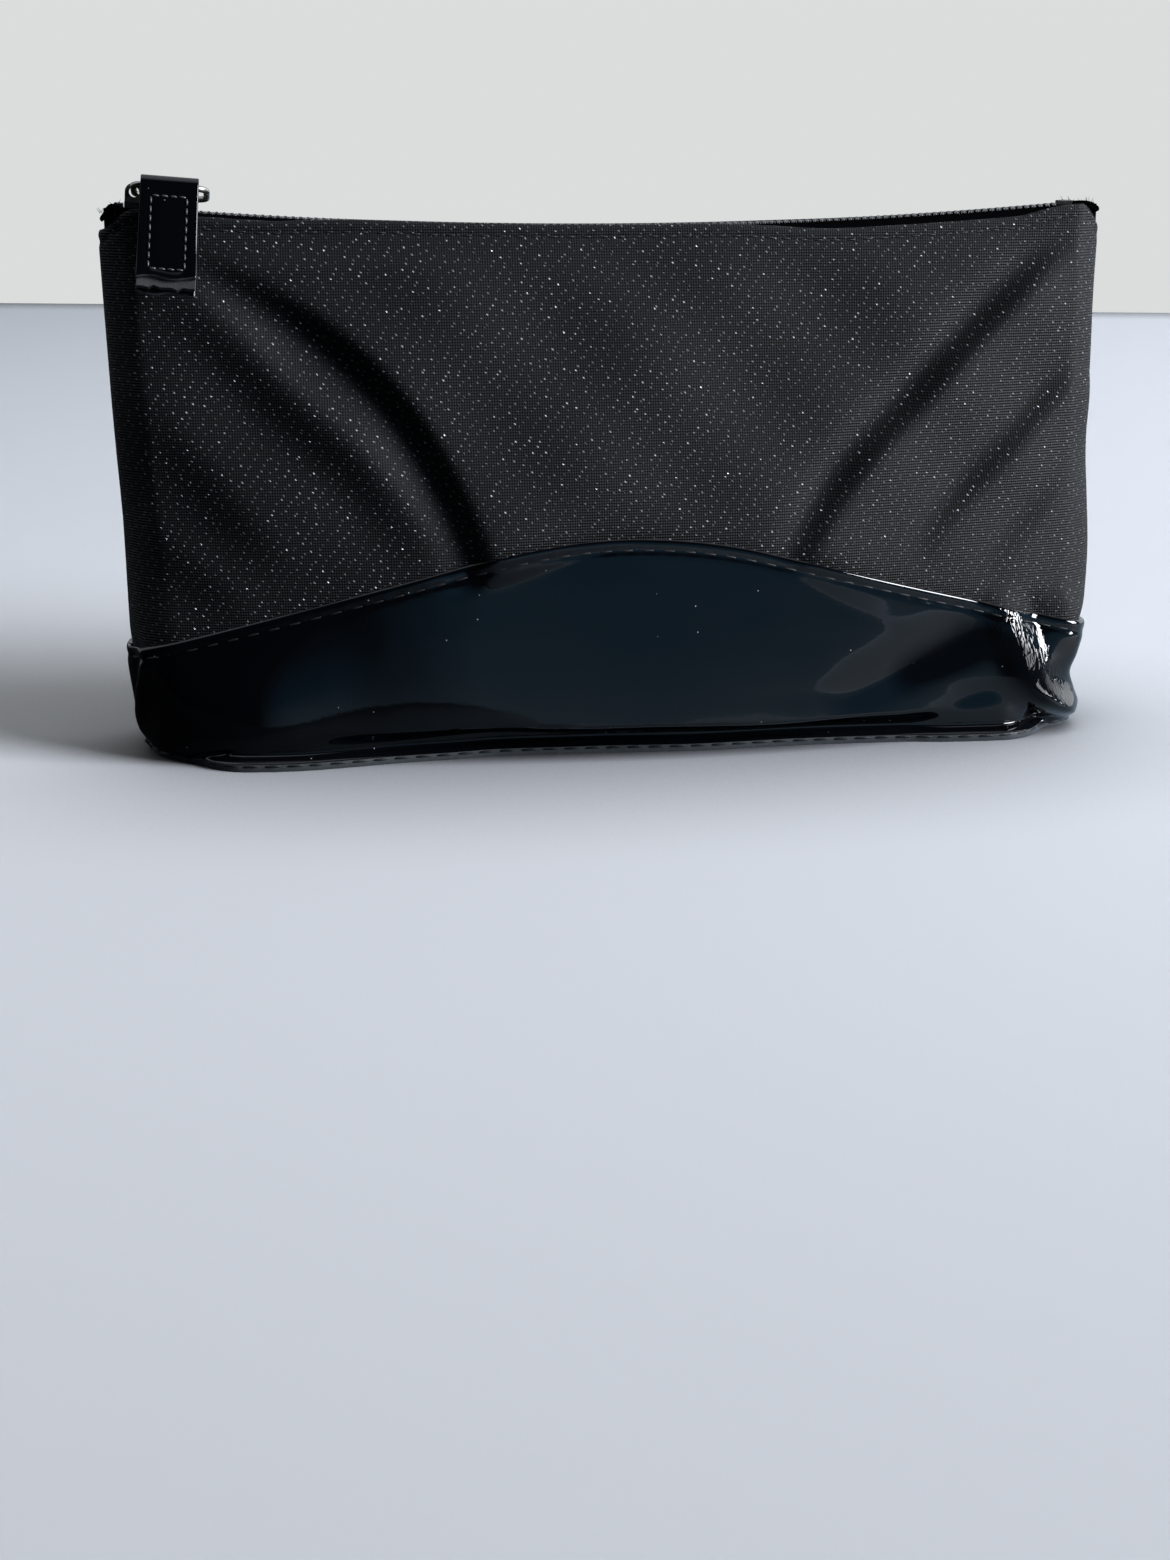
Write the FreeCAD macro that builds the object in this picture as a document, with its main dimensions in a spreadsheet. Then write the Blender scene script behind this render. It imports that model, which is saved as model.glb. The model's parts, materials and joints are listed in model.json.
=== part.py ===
import FreeCAD, Part
import Sketcher
import math
import os
import re

# Makeup bag: a soft wedge that stands on its base and closes with a coil zip along its top ridge.
# X runs along the bag, the front faces -Y, +Z is up and the origin is under the middle of the base.

doc = FreeCAD.newDocument("makeup_bag")
Vector = FreeCAD.Vector
Rotation = FreeCAD.Rotation
Placement = FreeCAD.Placement

# ---- sizes, in millimetres and degrees

sizes = {
    # outside of the bag at four levels: foot, belly, waist and mouth
    "foot_width": 193.0,
    "foot_depth": 40.0,
    "foot_end": 18.5,
    "belly_level": 8.0,
    "belly_width": 200.0,
    "belly_depth": 50.0,
    "belly_end": 21.0,
    "waist_level": 46.0,
    "waist_width": 204.0,
    "waist_depth": 40.0,
    "waist_end": 9.0,
    "mouth_width": 205.0,
    "mouth_depth": 12.8,
    "mouth_end": 5.8,
    # top edge: its height in the middle, and how far it rises to both ends
    "edge_height": 105.2,
    "edge_sag": 4.6,
    # layers of the wall
    "panel_cloth": 0.9,
    "felt": 0.6,
    "lining_cloth": 0.3,
    # arched seam between the glitter cloth and the patent
    "seam_side": 21.8,
    "seam_rise": 22.6,
    "seam_curve": 115.0,
    # folds of the glitter cloth: their line in from the side seams and down from the top edge
    "fold_top_drop": 4.3,
    "fold_upper_drop": 22.3,
    "fold_lower_drop": 44.3,
    "fold_foot_drop": 70.3,
    "left_fold_top": 17.5,
    "left_fold_upper": 43.5,
    "left_fold_lower": 63.5,
    "left_fold_foot": 77.5,
    "left_fold_height": 3.4,
    "left_fold_slope": 30.0,
    "right_fold_top": 6.5,
    "right_fold_upper": 25.5,
    "right_fold_lower": 48.5,
    "right_fold_foot": 69.5,
    "right_fold_height": 3.0,
    "right_fold_slope": 17.0,
    "fold_steep": 8.5,
    # thread that shows
    "thread_width": 0.4,
    "thread_proud": 0.25,
    "edge_stitch": 2.2,
    "seam_stitch": 2.2,
    "base_stitch": 3.0,
    # zip
    "chain_drop": 0.6,
    "left_margin": 4.9,
    "right_margin": 8.5,
    "coil_width": 2.55,
    "coil_height": 1.8,
    "coil_gap": 0.8,
    "tape_cloth": 0.5,
    "tape_leg": 8.0,
    "stop_length": 1.6,
    "stop_height": 2.4,
    "fold_height": 1.3,
    # slider
    "slider_rest": 0.3,
    "slider_length": 9.8,
    "wing_sheet": 0.7,
    "rail_width": 0.5,
    "chain_play": 0.15,
    "tape_play": 0.25,
    "post_length": 2.4,
    "crown_shift": 3.2,
    "crown_bore": 2.0,
    "crown_rim": 0.75,
    "crown_width": 2.2,
    # ring, and the leather tab folded over its front bar
    "ring_wire": 1.0,
    "ring_length": 15.0,
    "ring_breadth": 12.4,
    "ring_corner": 2.5,
    "ring_offset": 2.9,
    "ring_tilt": 12.0,
    "strap_leather": 1.1,
    "strap_width": 11.0,
    "strap_play": 0.25,
    "tab_length": 20.8,
    "tab_lean": 24.0,
    "filler_start": 2.6,
    "tab_stitch": 1.5,
}

sheet = doc.addObject("Spreadsheet::Sheet", "Sizes")
for row, (alias, number) in enumerate(sizes.items(), start=1):
    sheet.set(f"A{row}", alias)
    sheet.set(f"B{row}", str(number))
    sheet.setAlias(f"B{row}", alias)
doc.recompute()


def size(alias):
    return float(sheet.get(alias))


def bind(thing, ties):
    """Ties properties to the sheet: each word that names a size reads its cell."""
    for prop, text in ties.items():
        words = re.sub(r"[a-z_]+", lambda word: "Sizes." + word[0] if word[0] in sizes else word[0], text)
        thing.setExpression(prop, words)


# the top edge is an arc about a far axis above the bag; the whole zip shares that axis
edgeRadius = "((mouth_width ^ 2 / 4 + edge_sag ^ 2) / (2 * edge_sag))"
arcLevel = f"(edge_height + {edgeRadius})"
edgeRadiusNumber = (size("mouth_width") ** 2 / 4 + size("edge_sag") ** 2) / (2 * size("edge_sag"))
arcLevelNumber = size("edge_height") + edgeRadiusNumber

# the chain of teeth ends short of the side seams, and the closed slider rests just inside its left end
chainLeft = "(mouth_width / 2 - left_margin)"
chainRight = "(mouth_width / 2 - right_margin)"
sliderStart = size("mouth_width") / 2 - size("left_margin") - size("slider_rest") - size("slider_length") / 2

# ---- plain building blocks


def box(name, low, high):
    """A box between two corners, each given as three expressions."""
    block = doc.addObject("Part::Box", name)
    for side, axis, start, end in zip(("Length", "Width", "Height"), "xyz", low, high):
        bind(block, {side: f"({end}) - ({start})", f"Placement.Base.{axis}": start})
    return block


def arcCylinder(name, depth):
    """All that lies above an arc at a depth below the top edge."""
    drum = doc.addObject("Part::Cylinder", name)
    drum.Placement = Placement(Vector(0, 0, 0), Rotation(Vector(1, 0, 0), -90))
    bind(drum, {
        "Radius": f"{edgeRadius} + {depth}",
        "Height": "2 * belly_depth",
        "Placement.Base.y": "-belly_depth",
        "Placement.Base.z": arcLevel,
    })
    return drum


def boolean(kind, name, base, tool):
    result = doc.addObject(kind, name)
    result.Base = base
    result.Tool = tool
    return result


def cut(name, base, tool):
    return boolean("Part::Cut", name, base, tool)


def common(name, base, tool):
    return boolean("Part::Common", name, base, tool)


def fuse(name, base, tool):
    return boolean("Part::Fuse", name, base, tool)


def arcBand(name, top, bottom, low, high):
    """A strip that follows the top edge between two depths, cut to a range of X and of Y."""
    strip = cut(name + "_strip", arcCylinder(name + "_under", bottom), arcCylinder(name + "_over", top))
    ends = box(name + "_ends", (low[0], low[1], "0"), (high[0], high[1], "2 * edge_height"))
    return common(name, strip, ends)


nodes = []


def keep(thing, node):
    """Names a finished piece; its label is its file's name."""
    thing.Label = node
    nodes.append(thing)
    return thing


# ---- the wedge: one loft through four ovals, repeated for each layer of the wall


def ovalSketch(name, level, width, depth, end, growth, growthNumber):
    """An oval of two bows and two end arcs, with its centre on the Z axis."""
    sketch = doc.addObject("Sketcher::SketchObject", name)
    bind(sketch, {"Placement.Base.z": level})
    half = size(width) / 2 - size(end)
    endRadius = size(end) + growthNumber
    middle = size(depth) / 2 + growthNumber
    bowRadius = (half ** 2 + middle ** 2 - endRadius ** 2) / (2 * (middle - endRadius))
    bowCentre = bowRadius - middle
    lean = math.atan2(half, bowCentre)
    up = math.pi / 2
    arcs = [
        (0, bowCentre, bowRadius, -up - lean, -up + lean),
        (half, 0, endRadius, -up + lean, up - lean),
        (0, -bowCentre, bowRadius, up - lean, up + lean),
        (-half, 0, endRadius, up + lean, 3 * up - lean),
    ]
    for x, y, radius, start, stop in arcs:
        circle = Part.Circle(Vector(x, y, 0), Vector(0, 0, 1), radius)
        sketch.addGeometry(Part.ArcOfCircle(circle, start, stop), False)
    for arc in range(4):
        sketch.addConstraint(Sketcher.Constraint("Tangent", arc, 2, (arc + 1) % 4, 1))
    halfText = f"{width} / 2 - {end}"
    bowText = f"(({halfText}) ^ 2 + ({depth} / 2) ^ 2 - {end} ^ 2) / ({depth} - 2 * {end}) - {depth} / 2"
    rules = [
        (Sketcher.Constraint("Radius", 1, endRadius), f"{end} + {growth}"),
        (Sketcher.Constraint("Radius", 3, endRadius), f"{end} + {growth}"),
        (Sketcher.Constraint("DistanceX", -1, 1, 1, 3, half), halfText),
        (Sketcher.Constraint("DistanceX", 3, 3, -1, 1, half), halfText),
        (Sketcher.Constraint("PointOnObject", 1, 3, -1), None),
        (Sketcher.Constraint("PointOnObject", 3, 3, -1), None),
        (Sketcher.Constraint("DistanceY", -1, 1, 0, 3, bowCentre), bowText),
        (Sketcher.Constraint("DistanceY", 2, 3, -1, 1, bowCentre), bowText),
    ]
    for rule, text in rules:
        index = sketch.addConstraint(rule)
        if text:
            bind(sketch, {f"Constraints[{index}]": text})
    return sketch


def wedge(name, growth, growthNumber):
    """The bag's outer form, grown or shrunk sideways by one amount at every level."""
    levels = {"foot": "0", "belly": "belly_level", "waist": "waist_level", "mouth": "edge_height + 2 * edge_sag"}
    loft = doc.addObject("Part::Loft", name)
    loft.Sections = [
        ovalSketch(f"{name}_{part}", level, part + "_width", part + "_depth", part + "_end", growth, growthNumber)
        for part, level in levels.items()
    ]
    loft.Solid = True
    loft.Ruled = True
    return loft


panelNumber = size("panel_cloth")
feltNumber = panelNumber + size("felt")
liningNumber = feltNumber + size("lining_cloth")
threadForm = wedge("thread_form", "thread_proud", size("thread_proud"))
panelForm = wedge("panel_form", "0", 0.0)
feltForm = wedge("felt_form", "-panel_cloth", -panelNumber)
liningForm = wedge("lining_form", "-(panel_cloth + felt)", -feltNumber)
hollowForm = wedge("hollow_form", "-(panel_cloth + felt + lining_cloth)", -liningNumber)

panelLayer = cut("panel_layer", panelForm, feltForm)
feltLayer = cut("felt_layer", feltForm, liningForm)
liningLayer = cut("lining_layer", liningForm, hollowForm)
threadLayer = cut("thread_layer", threadForm, panelForm)

far = "mouth_width"
sides = {
    "front": ((f"-{far}", f"-{far}"), (far, "0")),
    "back": ((f"-{far}", "0"), (far, far)),
}

# ---- the arch: the patent's top edge, seen from the front


def archBody(name, drop):
    """All that lies below the arched seam, lowered by a distance."""
    sketch = doc.addObject("Sketcher::SketchObject", name + "_outline")
    sketch.Placement = Placement(Vector(0, 0, 0), Rotation(Vector(1, 0, 0), 90))
    bind(sketch, {"Placement.Base.z": f"-({drop})"})
    side = size("mouth_width") / 2
    low = size("seam_side")
    curve = size("seam_curve")
    centre = low + size("seam_rise") - curve
    reach = math.hypot(side, low - centre)
    slope = math.atan2(low - centre, side) + math.acos(curve / reach)
    touch = Vector(curve * math.cos(slope), centre + curve * math.sin(slope), 0)
    floor = -size("belly_level")
    crown = Part.Circle(Vector(0, centre, 0), Vector(0, 0, 1), curve)
    corners = [Vector(-side, low, 0), Vector(-side, floor, 0), Vector(side, floor, 0), Vector(side, low, 0)]
    outline = [
        Part.ArcOfCircle(crown, slope, math.pi - slope),
        Part.LineSegment(Vector(-touch.x, touch.y, 0), corners[0]),
        Part.LineSegment(corners[0], corners[1]),
        Part.LineSegment(corners[1], corners[2]),
        Part.LineSegment(corners[2], corners[3]),
        Part.LineSegment(corners[3], touch),
    ]
    for edge in outline:
        sketch.addGeometry(edge, False)
    for first in range(1, 5):
        sketch.addConstraint(Sketcher.Constraint("Coincident", first, 2, first + 1, 1))
    rules = [
        (Sketcher.Constraint("Tangent", 0, 2, 1, 1), None),
        (Sketcher.Constraint("Tangent", 5, 2, 0, 1), None),
        (Sketcher.Constraint("PointOnObject", 0, 3, -2), None),
        (Sketcher.Constraint("Vertical", 2), None),
        (Sketcher.Constraint("Vertical", 4), None),
        (Sketcher.Constraint("Horizontal", 3), None),
        (Sketcher.Constraint("Radius", 0, curve), "seam_curve"),
        (Sketcher.Constraint("DistanceY", -1, 1, 0, 3, centre), "seam_side + seam_rise - seam_curve"),
        (Sketcher.Constraint("DistanceX", -1, 1, 5, 1, side), "mouth_width / 2"),
        (Sketcher.Constraint("DistanceX", 2, 1, -1, 1, side), "mouth_width / 2"),
        (Sketcher.Constraint("DistanceY", -1, 1, 5, 1, low), "seam_side"),
        (Sketcher.Constraint("DistanceY", -1, 1, 2, 1, low), "seam_side"),
        (Sketcher.Constraint("DistanceY", 2, 2, -1, 1, -floor), "belly_level"),
    ]
    for rule, text in rules:
        index = sketch.addConstraint(rule)
        if text:
            bind(sketch, {f"Constraints[{index}]": text})
    body = doc.addObject("Part::Extrusion", name)
    body.Base = sketch
    body.DirMode = "Custom"
    body.Dir = Vector(0, 1, 0)
    body.Symmetric = True
    body.Solid = True
    bind(body, {"LengthFwd": "2 * belly_depth"})
    return body


seamBody = archBody("seam_body", "0")
stitchTop = archBody("seam_stitch_top", "seam_stitch")
stitchUnder = archBody("seam_stitch_under", "seam_stitch + thread_width")
seamThread = common("seam_thread_band", cut("seam_thread_ring", threadLayer, stitchUnder), stitchTop)

aboveEdge = arcCylinder("above_edge", "0")
aboveLeg = arcCylinder("above_leg", "chain_drop + tape_leg")
aboveWeb = arcCylinder("above_web", "chain_drop + tape_cloth / 2")

# ---- folds of the glitter cloth: low ridges, steep on their left and sloping gently to the right


def bowDepth(level, x):
    """How far out a level's oval stands, a distance from the middle."""
    half = f"({level}_width / 2 - {level}_end)"
    middle = f"({level}_depth / 2)"
    radius = f"(({half} ^ 2 + {middle} ^ 2 - {level}_end ^ 2) / (2 * ({middle} - {level}_end)))"
    return f"(sqrt({radius} ^ 2 - ({x}) ^ 2) - {radius} + {middle})"


def wallDepth(x, z):
    """How far out the wall stands between the waist and the mouth."""
    share = f"(({z} - waist_level) / (edge_height + 2 * edge_sag - waist_level))"
    return f"({bowDepth('waist', x)} * (1 - {share}) + {bowDepth('mouth', x)} * {share})"


def foldPlace(side, station):
    way = {"left": "-", "right": ""}[side]
    return f"({way}(mouth_width / 2 - {side}_fold_{station}))", f"(edge_height - fold_{station}_drop)"


def foldEnd(side, station):
    """The point where a fold runs out, just inside the cloth."""
    x, z = foldPlace(side, station)
    point = doc.addObject("Part::Vertex", f"{side}_fold_{station}_point")
    bind(point, {"X": x, "Y": f"panel_cloth / 2 - {wallDepth(x, z)}", "Z": z})
    return point


def foldSection(side, station):
    """A level triangle: its crest stands out from the wall and its two feet lie inside the cloth."""
    x, z = foldPlace(side, station)
    sketch = doc.addObject("Sketcher::SketchObject", f"{side}_fold_{station}_section")
    bind(sketch, {"Placement.Base.x": x, "Placement.Base.z": z})
    depth = size("waist_depth") / 2
    slope = f"{side}_fold_slope"
    corners = [Vector(-size("fold_steep"), -depth, 0), Vector(0, -2 * depth, 0), Vector(size(slope), -depth, 0)]
    for corner in range(3):
        sketch.addGeometry(Part.LineSegment(corners[corner], corners[(corner + 1) % 3]), False)
    for corner in range(3):
        sketch.addConstraint(Sketcher.Constraint("Coincident", corner, 2, (corner + 1) % 3, 1))
    leftFoot = f"{wallDepth(f'({x} - fold_steep)', z)} - panel_cloth / 2"
    rightFoot = f"{wallDepth(f'({x} + {slope})', z)} - panel_cloth / 2"
    rules = [
        (Sketcher.Constraint("DistanceX", 0, 1, -1, 1, size("fold_steep")), "fold_steep"),
        (Sketcher.Constraint("DistanceX", -1, 1, 2, 1, size(slope)), slope),
        (Sketcher.Constraint("PointOnObject", 1, 1, -2), None),
        (Sketcher.Constraint("DistanceY", 0, 1, -1, 1, depth), leftFoot),
        (Sketcher.Constraint("DistanceY", 1, 1, -1, 1, 2 * depth), f"{wallDepth(x, z)} + {side}_fold_height"),
        (Sketcher.Constraint("DistanceY", 2, 1, -1, 1, depth), rightFoot),
    ]
    for rule, text in rules:
        index = sketch.addConstraint(rule)
        if text:
            bind(sketch, {f"Constraints[{index}]": text})
    return sketch


frontFolds = []
for side in ("left", "right"):
    ridge = doc.addObject("Part::Loft", side + "_fold_ridge")
    ridge.Sections = [
        foldEnd(side, "top"),
        foldSection(side, "upper"),
        foldSection(side, "lower"),
        foldEnd(side, "foot"),
    ]
    ridge.Solid = True
    ridge.Ruled = True
    frontFolds.append(cut(side + "_fold", cut(side + "_fold_skin", ridge, feltForm), seamBody))

backFolds = []
for fold in frontFolds:
    mirrored = doc.addObject("Part::Mirroring", fold.Name + "_behind")
    mirrored.Source = fold
    mirrored.Normal = Vector(0, 1, 0)
    backFolds.append(mirrored)
folds = {"front": frontFolds, "back": backFolds}

# ---- walls of the bag, front and back

baseTop = "panel_cloth"
feltTop = "panel_cloth + felt"
liningTop = "panel_cloth + felt + lining_cloth"


def halfSpace(name, side, floor):
    low, high = sides[side]
    return box(name, (*low, floor), (*high, "2 * edge_height"))


for side, (low, high) in sides.items():
    space = halfSpace(side + "_panel_space", side, baseTop)
    wall = cut(side + "_wall", common(side + "_panel_half", panelLayer, space), aboveEdge)
    upper = doc.addObject("Part::MultiFuse", side + "_upper")
    upper.Shapes = [cut(side + "_upper_wall", wall, seamBody), *folds[side]]
    keep(upper, side + "_upper_panel")
    keep(common(side + "_patent", wall, seamBody), side + "_patent_panel")

    space = halfSpace(side + "_felt_space", side, feltTop)
    felt = common(side + "_felt_half", feltLayer, space)
    keep(cut(side + "_felt", felt, aboveLeg), side + "_interlining")

    space = halfSpace(side + "_lining_space", side, liningTop)
    lining = common(side + "_lining_half", liningLayer, space)
    keep(cut(side + "_lining_wall", lining, aboveWeb), side + "_lining")

# ---- base, three layers thick


def slab(name, floor, top):
    return box(name, (f"-{far}", f"-{far}", floor), (far, far, top))


keep(common("base_outer", panelForm, slab("base_slab", "0", baseTop)), "base_panel")
keep(common("base_felt", feltForm, slab("base_felt_slab", baseTop, feltTop)), "base_interlining")
keep(common("base_inner", liningForm, slab("base_lining_slab", feltTop, liningTop)), "base_lining")

# ---- thread: along the top edge, along the arched seam and round the base

for side, (low, high) in sides.items():
    band = arcBand(side + "_edge_band", "edge_stitch", "edge_stitch + thread_width", low, high)
    keep(common(side + "_edge_thread", threadLayer, band), side + "_edge_stitching")
    space = halfSpace(side + "_thread_space", side, "0")
    keep(common(side + "_seam_thread", seamThread, space), side + "_seam_stitching")
baseBand = slab("base_thread_band", "base_stitch", "base_stitch + thread_width")
keep(common("base_thread", threadLayer, baseBand), "base_stitching")

# ---- zip: tapes with a flat web and a leg sewn inside the wall, coils, stops and folded tape ends

coilInner = "coil_gap / 2"
coilOuter = "(coil_gap / 2 + coil_width)"
webTop = "chain_drop - tape_cloth / 2"
webUnder = "chain_drop + tape_cloth / 2"
spans = {"front": (f"-{coilOuter}", f"-({coilInner})"), "back": (coilInner, coilOuter)}

for side, (low, high) in sides.items():
    inner, outer = spans[side]
    if side == "front":
        webLow, webHigh = (low[0], low[1]), (high[0], inner)
    else:
        webLow, webHigh = (low[0], outer), (high[0], high[1])
    web = common(side + "_web", feltForm, arcBand(side + "_web_band", webTop, webUnder, webLow, webHigh))
    legBand = arcBand(side + "_leg_band", webTop, "chain_drop + tape_leg", low, high)
    leg = common(side + "_leg", feltLayer, legBand)
    keep(fuse(side + "_tape", web, leg), "zip_tape_" + side)
    coil = arcBand(
        side + "_coil",
        "chain_drop - coil_height / 2",
        "chain_drop + coil_height / 2",
        (f"-{chainLeft}", inner),
        (chainRight, outer),
    )
    keep(coil, "zip_coil_" + side)

stopTop = "chain_drop - stop_height / 2"
stopUnder = "chain_drop + stop_height / 2"
topStops = [
    arcBand(side + "_stop", stopTop, stopUnder, (f"-{chainLeft} - stop_length", inner), (f"-{chainLeft}", outer))
    for side, (inner, outer) in spans.items()
]
stops = doc.addObject("Part::Compound", "stops")
stops.Links = topStops
keep(stops, "zip_top_stops")
bottomLow = (chainRight, f"-{coilOuter}")
bottomHigh = (f"{chainRight} + stop_length", coilOuter)
keep(arcBand("bottom_stop", stopTop, stopUnder, bottomLow, bottomHigh), "zip_bottom_stop")

folds = {
    "left": ((f"-{far}", f"-{far}"), (f"-{chainLeft} - stop_length", far)),
    "right": ((f"{chainRight} + stop_length", f"-{far}"), (far, far)),
}
for end, (low, high) in folds.items():
    band = arcBand(end + "_fold_band", f"{webTop} - fold_height", webTop, low, high)
    keep(common(end + "_fold", feltForm, band), "zip_end_fold_" + end)

# ---- slider: two winged plates on a post, with a crown that holds the ring

chainRadius = edgeRadiusNumber + size("chain_drop")
startAngle = math.asin(sliderStart / chainRadius)
sliderFrame = Placement(
    Vector(-sliderStart, 0, arcLevelNumber - chainRadius * math.cos(startAngle)),
    Rotation(Vector(0, 1, 0), math.degrees(startAngle)),
)


def originPlane(body, role):
    return next(plane for plane in body.Origin.OriginFeatures if plane.Role == role)


def newSketch(body, name, role):
    sketch = body.newObject("Sketcher::SketchObject", name)
    sketch.AttachmentSupport = [(originPlane(body, role), "")]
    sketch.MapMode = "FlatFace"
    return sketch


def outlineSketch(body, name, role, points):
    """A closed outline of straight lines, each corner tied to two expressions."""
    sketch = newSketch(body, name, role)
    count = len(points)
    corners = [Vector(x, y, 0) for x, y, _, _ in points]
    for index in range(count):
        sketch.addGeometry(Part.LineSegment(corners[index], corners[(index + 1) % count]), False)
    for index in range(count):
        sketch.addConstraint(Sketcher.Constraint("Coincident", index, 2, (index + 1) % count, 1))
    for index, (x, y, textX, textY) in enumerate(points):
        across = sketch.addConstraint(Sketcher.Constraint("DistanceX", -1, 1, index, 1, x))
        along = sketch.addConstraint(Sketcher.Constraint("DistanceY", -1, 1, index, 1, y))
        bind(sketch, {f"Constraints[{across}]": textX, f"Constraints[{along}]": textY})
    return sketch


def pad(body, sketch, length, centred=True):
    feature = body.newObject("PartDesign::Pad", sketch.Name + "_pad")
    feature.Profile = sketch
    feature.SideType = "Symmetric" if centred else "One side"
    bind(feature, {"Length": length})
    return feature


def newBody(name, frame):
    body = doc.addObject("PartDesign::Body", name)
    body.Placement = frame
    return body


wingInner = size("coil_height") / 2 + size("chain_play")
wingOuter = wingInner + size("wing_sheet")
railInner = size("coil_gap") / 2 + size("coil_width") + size("chain_play")
railOuter = railInner + size("rail_width")
railFoot = size("tape_cloth") / 2 + size("tape_play")
wingInnerText = "coil_height / 2 + chain_play"
wingOuterText = f"{wingInnerText} + wing_sheet"
railInnerText = "coil_gap / 2 + coil_width + chain_play"
railOuterText = f"{railInnerText} + rail_width"
railFootText = "tape_cloth / 2 + tape_play"

slider = newBody("slider", sliderFrame)
postHalf = size("slider_length") / 2
postEnd = postHalf - size("post_length")
post = outlineSketch(slider, "post", "XZ_Plane", [
    (-postHalf, -wingInner, "-slider_length / 2", f"-({wingInnerText})"),
    (-postEnd, -wingInner, "post_length - slider_length / 2", f"-({wingInnerText})"),
    (-postEnd, wingInner, "post_length - slider_length / 2", wingInnerText),
    (-postHalf, wingInner, "-slider_length / 2", wingInnerText),
])
pad(slider, post, "coil_gap - 2 * chain_play")
for name, turn in (("upper_wing", 1), ("lower_wing", -1)):
    section = [
        (-railOuter, railFoot, f"-({railOuterText})", railFootText),
        (-railInner, railFoot, f"-({railInnerText})", railFootText),
        (-railInner, wingInner, f"-({railInnerText})", wingInnerText),
        (railInner, wingInner, railInnerText, wingInnerText),
        (railInner, railFoot, railInnerText, railFootText),
        (railOuter, railFoot, railOuterText, railFootText),
        (railOuter, wingOuter, railOuterText, wingOuterText),
        (-railOuter, wingOuter, f"-({railOuterText})", wingOuterText),
    ]
    turned = [(x, turn * z, textX, f"{turn} * ({textZ})") for x, z, textX, textZ in section]
    pad(slider, outlineSketch(slider, name, "YZ_Plane", turned), "slider_length")
keep(slider, "slider_body")

# the crown is a bent bridge with a bore across the chain, where the ring swings
boreLevel = wingOuter + size("crown_rim") + size("crown_bore") / 2
boreLevelText = f"{wingOuterText} + crown_rim + crown_bore / 2"
crownRadius = size("crown_bore") / 2 + size("crown_rim")
crownRadiusText = "crown_bore / 2 + crown_rim"
boreX = -size("crown_shift")

crown = newBody("crown", sliderFrame)
bridge = newSketch(crown, "bridge", "XZ_Plane")
footHalf = 2 * crownRadius - size("crown_rim")
crest = Part.Circle(Vector(boreX, boreLevel, 0), Vector(0, 0, 1), crownRadius)
bore = Part.Circle(Vector(boreX, boreLevel, 0), Vector(0, 0, 1), size("crown_bore") / 2)
leftFoot = Vector(boreX - crownRadius, wingOuter, 0)
rightFoot = Vector(boreX + footHalf, wingOuter, 0)
bridge.addGeometry(Part.ArcOfCircle(crest, 0, math.pi), False)
bridge.addGeometry(Part.LineSegment(Vector(boreX - crownRadius, boreLevel, 0), leftFoot), False)
bridge.addGeometry(Part.LineSegment(leftFoot, rightFoot), False)
bridge.addGeometry(Part.LineSegment(rightFoot, Vector(boreX + crownRadius, boreLevel, 0)), False)
bridge.addGeometry(bore, False)
for first, second in ((0, 1), (1, 2), (2, 3)):
    bridge.addConstraint(Sketcher.Constraint("Coincident", first, 2, second, 1))
bridge.addConstraint(Sketcher.Constraint("Coincident", 3, 2, 0, 1))
bridge.addConstraint(Sketcher.Constraint("Coincident", 4, 3, 0, 3))
bridge.addConstraint(Sketcher.Constraint("Vertical", 1))
bridge.addConstraint(Sketcher.Constraint("Horizontal", 2))
bridge.addConstraint(Sketcher.Constraint("Horizontal", 0, 1, 0, 3))
bridge.addConstraint(Sketcher.Constraint("Horizontal", 0, 2, 0, 3))
for rule, text in (
    (Sketcher.Constraint("Radius", 0, crownRadius), crownRadiusText),
    (Sketcher.Constraint("Radius", 4, size("crown_bore") / 2), "crown_bore / 2"),
    (Sketcher.Constraint("DistanceX", 0, 3, -1, 1, -boreX), "crown_shift"),
    (Sketcher.Constraint("DistanceY", -1, 1, 0, 3, boreLevel), boreLevelText),
    (Sketcher.Constraint("DistanceY", -1, 1, 1, 2, wingOuter), wingOuterText),
    (Sketcher.Constraint("DistanceX", 0, 3, 2, 2, footHalf), f"2 * ({crownRadiusText}) - crown_rim"),
):
    index = bridge.addConstraint(rule)
    bind(bridge, {f"Constraints[{index}]": text})
pad(crown, bridge, "crown_width")
keep(crown, "slider_crown")

# ---- ring: a rounded rectangle of wire; its left bar runs through the crown's bore

ringFrame = sliderFrame.multiply(
    Placement(Vector(boreX, 0, boreLevel), Rotation(Vector(1, 0, 0), -size("ring_tilt")))
)
ring = newBody("ring", ringFrame)
path = newSketch(ring, "ring_path", "XY_Plane")
right = size("ring_length") - size("ring_wire")
reach = (size("ring_breadth") - size("ring_wire")) / 2
low, high = -size("ring_offset") - reach, -size("ring_offset") + reach
corner = size("ring_corner")
bars = [
    (Vector(corner, low, 0), Vector(right - corner, low, 0)),
    (Vector(right, low + corner, 0), Vector(right, high - corner, 0)),
    (Vector(right - corner, high, 0), Vector(corner, high, 0)),
    (Vector(0, high - corner, 0), Vector(0, low + corner, 0)),
]
centres = [
    Vector(right - corner, low + corner, 0),
    Vector(right - corner, high - corner, 0),
    Vector(corner, high - corner, 0),
    Vector(corner, low + corner, 0),
]
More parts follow.
